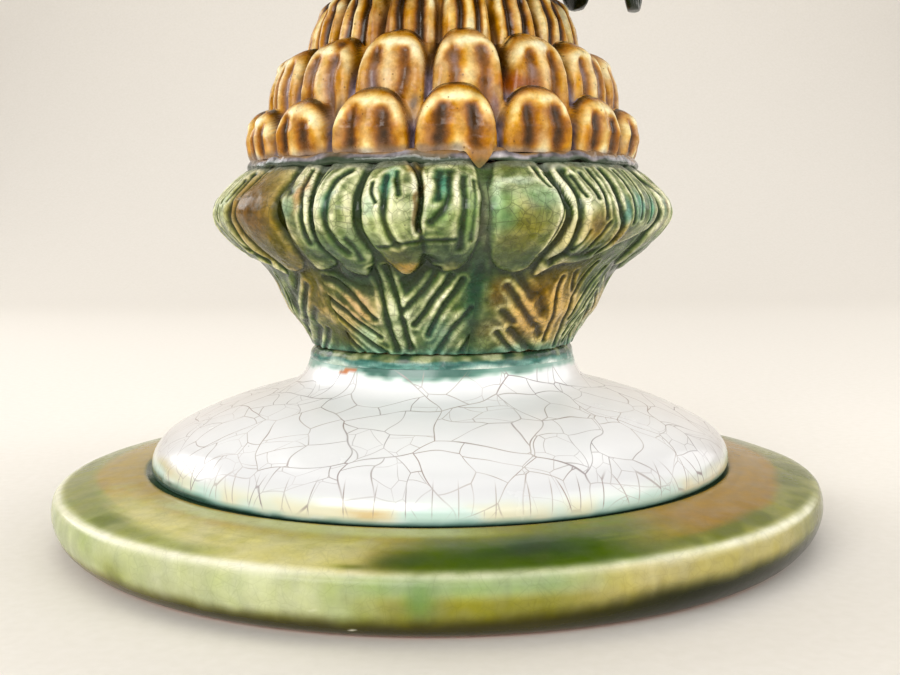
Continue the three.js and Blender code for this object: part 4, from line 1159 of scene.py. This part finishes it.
def scale_row(index, palette_patches, drips=()):
    """A strip of sixteen thick tongues.  Between them the strip takes up the foot of the
    row above, whose tails run down to points."""
    row = ROWS[index]
    nu, nv = 900, (76 if index < 3 else 64)
    az = np.linspace(-180, 180, nu, endpoint=False)
    flat = tongues(index, az, np.zeros((nu, 1)) + row["z0"])
    z_top = np.maximum(flat["top"][:, 0], row["band"])
    z_bot = np.full(nu, row["z0"])
    for a0, depth, width in drips:
        z_bot = z_bot - depth * np.clip(1 - (np.abs(az - a0) / width) ** 1.35, 0, 1)
    v = np.linspace(0, 1, nv)
    v = v + 0.16 * np.sin(PI * v) * v                # more rows near the lip
    v = v / v[-1]
    Z = z_bot[:, None] + (z_top - z_bot)[:, None] * v[None]
    f = tongues(index, az, Z)

    # relief on an even grid, so that softening it doesn't mix heights
    level = np.linspace(z_bot.min(), z_top.max(), int((z_top.max() - z_bot.min()) / 0.2))
    ZL = level[None] + 0 * z_top[:, None]
    e = tongues(index, az, ZL)
    base = np.interp(ZL, *row["floor"])
    if index < 4:
        over = tongues(index + 1, az, np.maximum(ZL, ROWS[index + 1]["z0"] + 0.05))
        up_face = np.interp(ROWS[index + 1]["z0"], *ROWS[index + 1]["face"])
        up_floor = np.interp(ROWS[index + 1]["z0"], *ROWS[index + 1]["floor"])
        pil = np.sqrt(1 - (1 - over["t"]) ** 2)
        base = base + (scale_relief(index + 1, over) * pil + (up_floor - up_face) * (1 - pil)) * smooth(row["z0"] + 2, row["z0"] + 7, ZL)
    pillow = np.sqrt(1 - (1 - e["t"]) ** 2)
    relief = scale_relief(index, e)
    HL = base + (e["face"] + relief - base) * pillow
    for a0, depth, width in drips:                   # a pointed tail over the seam
        near_tail = smooth(width * 1.5, width * 0.6, np.abs(az[:, None] - a0)) * smooth(row["z0"] + 3.5, row["z0"] + 0.3, ZL)
        HL = HL + (54.75 - 0.5 * smooth(row["z0"] - 1, row["z0"] - 4, ZL) - HL) * near_tail
    mm_u, mm_v = row["face"][1][1] * 2 * PI / nu, level[1] - level[0]
    HL = blur(HL, 0.30 / mm_u, 0.30 / mm_v, True)
    soft = relief * smooth(0.0, 0.5, e["t"]) - 0.5 * (1 - smooth(0.0, 0.5, e["t"]))
    fields = [HL, blur(soft, 0.9 / mm_u, 0.9 / mm_v, True) - soft, blur(soft, 2.4 / mm_u, 2.4 / mm_v, True) - soft]
    if index < 4:
        o = smooth(0.0, 0.5, over["t"])
        soft = scale_relief(index + 1, over) * o - 0.5 * (1 - o)
        fields += [blur(soft, 0.9 / mm_u, 0.9 / mm_v, True) - soft, blur(soft, 2.4 / mm_u, 2.4 / mm_v, True) - soft]
    fields = [np.array([np.interp(Z[i], level, fl[i]) for i in range(nu)]) for fl in fields]
    H, near, wide = fields[:3]
    t = f["t"]
    above = tongues(index + 1, az, np.maximum(Z, ROWS[index + 1]["z0"] + 0.05)) if index < 4 else None
    inner = np.where(Z > row["band"] + 0.1, row["back"] + 0.12, np.interp(Z, CORE_Z, CORE_R) + 0.9)
    H = np.maximum(H, inner)
    A = np.radians(az)[:, None] + 0 * Z
    P = place(H, A, Z)

    n1, n2 = fbm(P, 9, 3, 101), fbm(P, 3, 3, 102)
    col = scale_glaze(index, f, near, wide)
    valley = ramp(np.clip(0.5 + 0.55 * n2 - 0.25 * np.clip(near, -0.5, 0.7), 0, 1), [(0, (62, 50, 50)), (0.35, (104, 90, 98)), (0.7, (146, 130, 140)), (1, (178, 166, 174))])
    # brown valleys, darkest at their tops under the row above: pooled glaze and painted shade
    if index >= 2:
        valley = mix(valley, (92, 58, 16), (smooth(0.25, 0.6, f["zr"]) if index == 2 else 0.85 + 0 * Z))
        valley = mix(valley, (50, 30, 8), 0.85 * smooth(0.5, 0.8, f["zr"]))
    if above is not None:
        tail = scale_glaze(index + 1, above, fields[3], fields[4])
        keep = smooth(0.04, 0.30, above["t"] + 0.05 * n2) * smooth(row["band"] - 7.5, row["band"] - 1.8, Z + 1.0 * n2)
        valley = mix(valley, tail, keep)
    col = mix(valley, col, smooth(0.04, 0.30, t + 0.05 * n2))
    # slip drawn up from the seam
    if index == 1:
        slip = smooth(102.6, 100.7, Z + 1.3 * n1 + 0.7 * n2)
        for a0, depth, width in drips:
            slip = slip * smooth(0.7 * width, 1.4 * width, np.abs(az[:, None] - a0))
            tail_w = smooth(width, 0.4 * width, np.abs(az[:, None] - a0))
            col = mix(col, (152, 112, 60), 0.7 * tail_w * smooth(102.0, 99.8, Z + 0.5 * n2))
            col = mix(col, (96, 92, 56), 0.7 * tail_w * smooth(99.2, 97.2, Z + 0.6 * n2))
        col = mix(col, ramp(0.5 + 0.6 * n2, [(0, (92, 84, 84)), (0.5, (138, 128, 134)), (1, (184, 176, 176))]), 0.62 * slip)
    # glaze gathered dark along the line where tongue and floor meet, with painted shadow in that gap, wider towards the
    # right
    rim = ((0.24 if index == 1 else 0.16) + 0.12 * smooth(-0.2, 0.8, f["X"])) * (1 + 0.5 * n1)
    col = mix(col, (58, 38, 10), 0.9 * smooth(rim, 0.3 * rim, t) * (t > 0.0) * smooth(0.55, 0.8, f["zr"]))
    azw = wrap_deg(np.degrees(A)) + 1.0 * n2
    for a0, zz, ra, rz, c, amount in palette_patches:
        w = np.exp(-(((azw - a0) / ra) ** 2 + ((Z + 0.6 * n2 - zz) / rz) ** 2) ** 1.4) * amount
        col = mix(col, c, w)
    # back of the tongues
    zb = np.stack([z_top - 0.25, np.maximum(z_top - 0.8, row["band"]), np.full(nu, row["band"]), np.full(nu, row["band"]),
                   np.full(nu, 0.5 * (row["band"] + row["z0"])), np.full(nu, row["z0"])], axis=1)
    zb[:, 0] = np.maximum(zb[:, 0], row["band"])
    zb[:, 1] = np.minimum(zb[:, 1], zb[:, 0])
    core = np.interp(zb, CORE_Z, CORE_R) + 0.35
    back = np.where(z_top > row["band"] + 0.1, row["back"], np.minimum(row["back"], H[:, -1] - 0.02))
    rb = np.stack([back, back, back, core[:, 3], core[:, 4], core[:, 5]], axis=1)
    Ab = np.radians(az)[:, None] + 0 * zb
    Pb = place(rb, Ab, zb)
    cb = np.broadcast_to((96.0, 66.0, 20.0), Pb.shape)
    V = np.concatenate([P, Pb], axis=1)
    C = np.concatenate([col, cb], axis=1)
    name = "scale_row_%d" % index
    ob = make_mesh(name + "_glazed", V, grid_quads(nu, V.shape[1], True, True), colour=lin(np.clip(C, 0, 255)))
    return finish_piece(ob, M_SCALE, [name])


BETWEEN = [
    (-31.5, 110, 1.6, 4.0, (74, 62, 60), 0.6),
    (15.0, 112, 1.5, 3.0, (112, 78, 88), 0.7),
    (-8.0, 112.5, 1.2, 2.0, (62, 50, 44), 0.6),
]
scale_row(1, BETWEEN + [
    (-20, 115.5, 6.0, 1.6, (116, 88, 30), 0.4),
    (9.0, 115.0, 2.5, 1.6, (92, 60, 14), 0.6),
], drips=((9.4, 4.0, 3.5),))
scale_row(2, BETWEEN + [
    (19.5, 117.5, 3.4, 2.6, (138, 62, 8), 0.8),
    (25.5, 117.0, 5.4, 1.8, (140, 68, 10), 0.75),
    (19.0, 122.0, 1.8, 4.0, (60, 34, 6), 0.8),
    (-4.0, 124.5, 1.4, 3.0, (52, 34, 20), 0.7),
    (-28.5, 123.0, 1.6, 4.0, (84, 54, 22), 0.6),
])
scale_row(3, [])
scale_row(4, [])
seam_ring()


# ------------------------------------------------------------------ crown
def crown_collar():
    pts = [[13.4, 157.4, 1], [18.4, 157.4, 1], [19.0, 158.6], [18.9, 161], [19.2, 164], [19.8, 167], [21.4, 169.4],
           [23.6, 170.85, 1], [14.0, 170.85, 1], [13.4, 166]]

    def warp(R, Z, A):
        w = smooth(17, 18.4, R)
        return R - w * 0.55 * np.abs(np.sin(8 * A)) ** 6 + w * 0.12 * noise(place(R, A, Z, False), 4, 101), Z

    P, R, A, Z, S = lathe(pts, 0.5, 384, warp)
    n1, n2 = fbm(P, 7, 3, 102), fbm(P, 2, 2, 103)
    ridge = 1 - np.abs(np.sin(8 * A)) ** 6
    col = ramp(0.35 + 0.3 * n1 + 0.2 * n2 + 0.3 * (1 - ridge),
               [(0, (96, 128, 62)), (0.4, (54, 88, 36)), (0.8, (30, 54, 22)), (1, (20, 36, 16))])
    ob = make_mesh("crown_collar_glazed", P, grid_quads(*R.shape, True, True), colour=lin(np.clip(col, 0, 255)))
    return finish_piece(ob, M_CROWN, ["crown_collar"])


crown_collar()
TIPS = [[52, 142], [53, 139.6], [42, 146.6], [50, 144], [51, 143], [49, 152], [52, 147], [51.5, 141.5]]


def crown_leaf(k):
    angle = (k + 0.5) * PI / 4
    tr, tz = TIPS[k]
    path = spline([[20.8, 162.2], [26.5, 166.0], [33.5, 168.2], [tr - 12, 167.2], [tr - 5.2, 162.4],
                   [tr - 1.2, (162.4 + tz) / 2 + 0.8], [tr, tz - (1.4 if k in (1, 2) else -0.3)]], 0.4)
    n = 110
    s = np.r_[0, np.cumsum(np.linalg.norm(np.diff(path, axis=0), axis=1))]
    v = np.linspace(0, 1, n)
    c = np.stack([np.interp(v * s[-1], s, path[:, 0]), np.interp(v * s[-1], s, path[:, 1])], axis=1)
    t = np.gradient(c, axis=0)
    t /= np.linalg.norm(t, axis=1)[:, None]
    nrm = np.stack([-t[:, 1], t[:, 0]], axis=1)
    half = np.interp(v, [0, 0.2, 0.45, 0.65, 0.85, 0.95, 0.985, 1], [6.0, 7.8, 10.8, 11.2, 8.8, 6.6, 4.8, 2.6])
    m = 120                                          # round the section: outside, then inside
    q = np.linspace(0, 2 * PI, m, endpoint=False)
    u = np.cos(q)
    side = np.sin(q)
    thick = np.sign(side) * np.abs(side) ** 0.62
    U, T, Vv = u[None] + 0 * v[:, None], thick[None] + 0 * v[:, None], v[:, None] + 0 * u[None]
    sag = -2.0 * U ** 2 * np.sin(PI * np.minimum(1, Vv + 0.15))
    body = (2.0 - 0.7 * U ** 2) * np.interp(Vv, [0, 0.93, 1], [1, 1, 0.75])
    outer = smooth(0, 0.3, T)
    mid = -0.9 * np.exp(-(U / 0.10) ** 2)
    veins = -0.42 * np.exp(-((np.mod(np.abs(U) * 4.0 - Vv * 1.2, 1) - 0.5) / 0.16) ** 2) * smooth(0.12, 0.25, np.abs(U)) * smooth(1.0, 0.86, np.abs(U))
    relief = (mid + veins) * outer * smooth(0.0, 0.1, Vv) * smooth(1.0, 0.93, Vv)
    off = sag + T * body + relief
    W = half[:, None] * U * (1 + 0.03 * np.sin(22 * Vv + 3 * k) * smooth(0.1, 0.4, Vv) * smooth(1, 0.8, Vv))
    r = c[:, 0][:, None] + nrm[:, 0][:, None] * off
    z = c[:, 1][:, None] + nrm[:, 1][:, None] * off
    z = np.minimum(z, 170.9 + 0 * z)
    ca, sa = math.cos(angle), math.sin(angle)
    P = np.stack([r * sa + W * ca + np.interp(z, LEAN_Z, LEAN_X), -r * ca + W * sa, z], axis=-1)
    P = P + (0.18 * noise(P, 6, 110 + k) * outer)[..., None] * np.array([0, 0, 1.0])
    n1, n2 = fbm(P, 8, 3, 120 + k), fbm(P, 2.5, 2, 121)
    tt = 0.46 - 0.28 * relief + 0.16 * n1 + 0.12 * n2 - 0.22 * smooth(0.86, 1.0, np.abs(U)) * outer
    col = ramp(np.clip(tt, 0, 1), [(0, (150, 168, 96)), (0.3, (86, 116, 50)), (0.5, (48, 78, 30)), (0.75, (28, 50, 20)), (1, (16, 30, 12))])
    # painted shade: the drooping tips darkened nearly black under the bowl
    col = mix(col, (14, 22, 6), 0.9 * smooth(0.80, 0.94, Vv))
    quads = grid_quads(n, m, False, True)
    caps = [list(range(m)), list(range((n - 1) * m, n * m))[::-1]]
    name = "crown_leaf_%d" % (k + 1)
    ob = make_mesh(name + "_glazed", P, quads, caps, colour=lin(np.clip(col, 0, 255)))
    return finish_piece(ob, M_CROWN, [name])


for _k in range(8):
    crown_leaf(_k)


# ------------------------------------------------------------------ bowl
def bowl():
    pts = [[0.01, 177.0, 1], [13, 177.0, 1], [15, 171.3, 1], [24.2, 171.3, 1], [25.2, 172.6], [27.6, 174.9], [34, 178.0], [52, 183.0],
           [76, 190.0], [98, 200.0], [115, 212.5], [125, 226.0], [130.2, 239.4, 1], [133.0, 239.6], [136.4, 241.9], [137.9, 245.6],
           [137.0, 249.2], [134.2, 251.6], [130.6, 251.9], [127.4, 250.4], [125.6, 247.2], [124.2, 243.2], [118.9, 229.4], [108.4, 216.0],
           [94.5, 206.1], [73.6, 196.6], [50, 189.9], [24, 186.7], [0.01, 185.9, 1]]
    path = spline(pts, 1.5)
    nphi = 400
    A = np.linspace(0, 2 * PI, nphi, endpoint=False)[:, None] + 0 * path[None, :, 0]
    R, Z = np.repeat(path[None, :, 0], nphi, 0), np.repeat(path[None, :, 1], nphi, 0)
    p = place(R, A, Z, False)
    w = smooth(180, 200, Z) * smooth(20, 60, R)
    Z = Z + w * 0.35 * noise(p * [1, 1, 0], 55, 131) * smooth(252.2, 248, Z)
    R = R - smooth(130, 136, R) * 0.3 * (0.5 + 0.5 * noise(p, 48, 132))
    P = place(R, A, Z, False)
    i_rim = int(np.argmax(path[:, 0]))
    inside = np.arange(path.shape[0])[None] > i_rim
    inside = inside & (R < 200)
    az = wrap_deg(np.degrees(A))
    n1, n2, n3 = fbm(P, 30, 3, 133), fbm(P, 9, 3, 134), fbm(P, 3, 2, 135)
    white = np.broadcast_to((231.0, 233.0, 237.0), P.shape)
    col = mix(white, (226, 232, 226), 0.5 * smooth(-0.2, 0.6, n1))
    s = np.r_[0, np.cumsum(np.linalg.norm(np.diff(path, axis=0), axis=1))]
    # colour at the rolled rim: pooled dark line under it, mottled olive over it
    rim_s = s[np.argmin(np.hypot(path[:, 0] - 130.2, path[:, 1] - 239.4))]
    rim_e = s[np.argmin(np.hypot(path[:, 0] - 125.6, path[:, 1] - 247.2) + 100 * (np.arange(len(s)) < i_rim))]
    S = s[None] + 0 * R
    wob = 0.9 * n2 + 0.5 * n3
    col = mix(col, (206, 224, 208), 0.8 * smooth(rim_s - 9, rim_s - 2, S + 2 * wob) * (~inside))
    col = mix(col, (200, 216, 190), 0.85 * smooth(rim_e + 16, rim_e + 3, S + 3 * wob) * inside)
    rim = ramp(np.clip(0.5 + 0.55 * n1 + 0.35 * n2, 0, 1),
               [(0, (214, 208, 150)), (0.25, (196, 178, 96)), (0.5, (146, 148, 62)), (0.75, (98, 116, 34)), (1, (50, 74, 20))])
    on = smooth(rim_s - 0.3, rim_s + 0.5, S + 0.25 * n3) * smooth(rim_e + 1.6, rim_e - 0.6, S + 0.9 * wob)
    col = mix(col, rim, on)
    col = mix(col, (38, 66, 46), 0.95 * np.exp(-((S - rim_s + 0.4) / 0.9) ** 2))
    col = mix(col, (236, 232, 200), 0.5 * np.exp(-((R - 133.5) / 1.4) ** 2) * (Z > 250.5) * smooth(-0.3, 0.3, n1))
    # pooled tint in the well and a green foot to the stem
    col = mix(col, (196, 220, 214), 0.7 * smooth(34, 8, R + 3 * n2) * inside)
    stem = smooth(46, 30, R + 4 * n2) * (~inside)
    col = mix(col, (150, 176, 120), 0.8 * stem)
    col = mix(col, (62, 96, 50), smooth(33, 27, R + 1.5 * n2) * (~inside))
    col = mix(col, (176, 118, 80), ((R < 23.5) & (~inside)) * 1.0)
    rho = np.where(inside[0], s[-1] - s + 0.0, s)
    V = np.stack([rho * np.sin(A), -rho * np.cos(A), np.where(inside, 640.0, 420.0) + 0 * A], axis=-1)
    ckm = (1 - on) * smooth(27, 36, R + 100 * inside)
    quads = grid_quads(nphi, path.shape[0], True, False)
    n = path.shape[0]
    caps = [[i * n for i in range(nphi)][::-1], [i * n + n - 1 for i in range(nphi)]]
    ob = make_mesh("bowl_glazed", P, quads, caps, colour=lin(np.clip(col, 0, 255)), floats={"ckm": ckm, "ckr": 0 * ckm}, vectors={"crk": V, "crs": V})
    return finish_piece(ob, M_CRACK, ["bowl"])


bowl()


# ------------------------------------------------------------------ studio
def stage():
    n = Nodes("studio_paper")
    pos = n.position()
    g = n.noise(pos, 1 / 3.0, 3.0)["Fac"]
    n.link(n.mixc(n.map(g, 0.3, 0.7, 0, 1), tuple(lin((234, 229, 220))), tuple(lin((238, 233, 225)))), n.bsdf.inputs["Base Color"])
    n.bsdf.inputs["Roughness"].default_value = 0.85
    # floor running up into a backdrop in one sweep
    ys = np.r_[np.linspace(-2200, 900, 12), 900 + 600 * np.sin(np.linspace(0.1, PI / 2, 14)), [1500, 1500]]
    zs = np.r_[np.zeros(12), 600 * (1 - np.cos(np.linspace(0.1, PI / 2, 14))), [1500, 2600]] - 0.05
    xs = np.linspace(-3200, 3200, 9)
    V = np.stack(np.broadcast_arrays(xs[:, None], ys[None], zs[None]), axis=-1)
    q = grid_quads(len(xs), len(ys), False, False)
    ob = make_mesh("studio_sweep", V, q)
    me = ob.data
    me.polygons.foreach_set("use_smooth", np.ones(len(me.polygons), bool))
    if me.polygons[0].normal.z < 0:
        me.flip_normals()
    me.materials.append(n.mat)


stage()


def softbox(name, loc, target, sx, sy, watts, colour=(1, 1, 1)):
    li = bpy.data.lights.new(name, "AREA")
    li.shape = "RECTANGLE"
    li.size, li.size_y = sx, sy
    li.energy = watts
    li.color = colour
    ob = bpy.data.objects.new(name, li)
    bpy.context.scene.collection.objects.link(ob)
    from mathutils import Vector
    d = Vector(target) - Vector(loc)
    ob.rotation_euler = d.to_track_quat("-Z", "Y").to_euler()
    ob.location = loc
    return ob


softbox("key_window", (-0.55, -1.15, 0.62), (0, 0, 0.07), 0.95, 0.55, 11.6, (1.0, 0.99, 0.97))
softbox("front_strip", (0.25, -1.35, 0.30), (0, 0, 0.08), 1.3, 0.28, 3.3, (0.96, 0.98, 1.0))
softbox("right_fill", (1.15, -0.55, 0.55), (0, 0, 0.06), 0.9, 0.9, 4.8, (1.0, 0.98, 0.95))
softbox("top_soft", (0.0, 0.35, 1.25), (0, 0, 0.05), 1.3, 1.0, 7.0)

softbox("left_window", (-1.05, 0.55, 0.55), (0, 0, 0.05), 0.7, 0.5, 3.6)
softbox("right_window", (1.1, 0.6, 0.5), (0, 0, 0.05), 0.8, 0.6, 2.2)

world = bpy.data.worlds.new("studio_world")
world.use_nodes = True
bg = world.node_tree.nodes["Background"]
bg.inputs["Color"].default_value = (*lin((236, 232, 228)), 1.0)
bg.inputs["Strength"].default_value = 0.55
bpy.context.scene.world = world

cam = bpy.data.cameras.new("camera")
cam.sensor_width = 36.0
cam.lens = 46.0
cam.clip_start = 0.01
cam.clip_end = 20.0
cob = bpy.data.objects.new("camera", cam)
bpy.context.scene.collection.objects.link(cob)
_al = 0.0955
_right = np.array([1.0, 0, 0])
_up = np.array([0, math.sin(_al), math.cos(_al)])
_fwd = np.array([0, math.cos(_al), -math.sin(_al)])
_r2 = _right - 0.006 * _up
_u2 = _up + 0.006 * _right
_m = Matrix(((_r2[0], _u2[0], -_fwd[0], 0.0035), (_r2[1], _u2[1], -_fwd[1], -0.324),
             (_r2[2], _u2[2], -_fwd[2], 0.0828), (0, 0, 0, 1)))
_loc, _rot, _ = _m.decompose()
cob.location = _loc
cob.rotation_euler = _rot.to_euler()
bpy.context.scene.camera = cob
bpy.context.scene.view_settings.view_transform = "Standard"
bpy.context.scene.view_settings.look = "None"

bpy.context.view_layer.update()
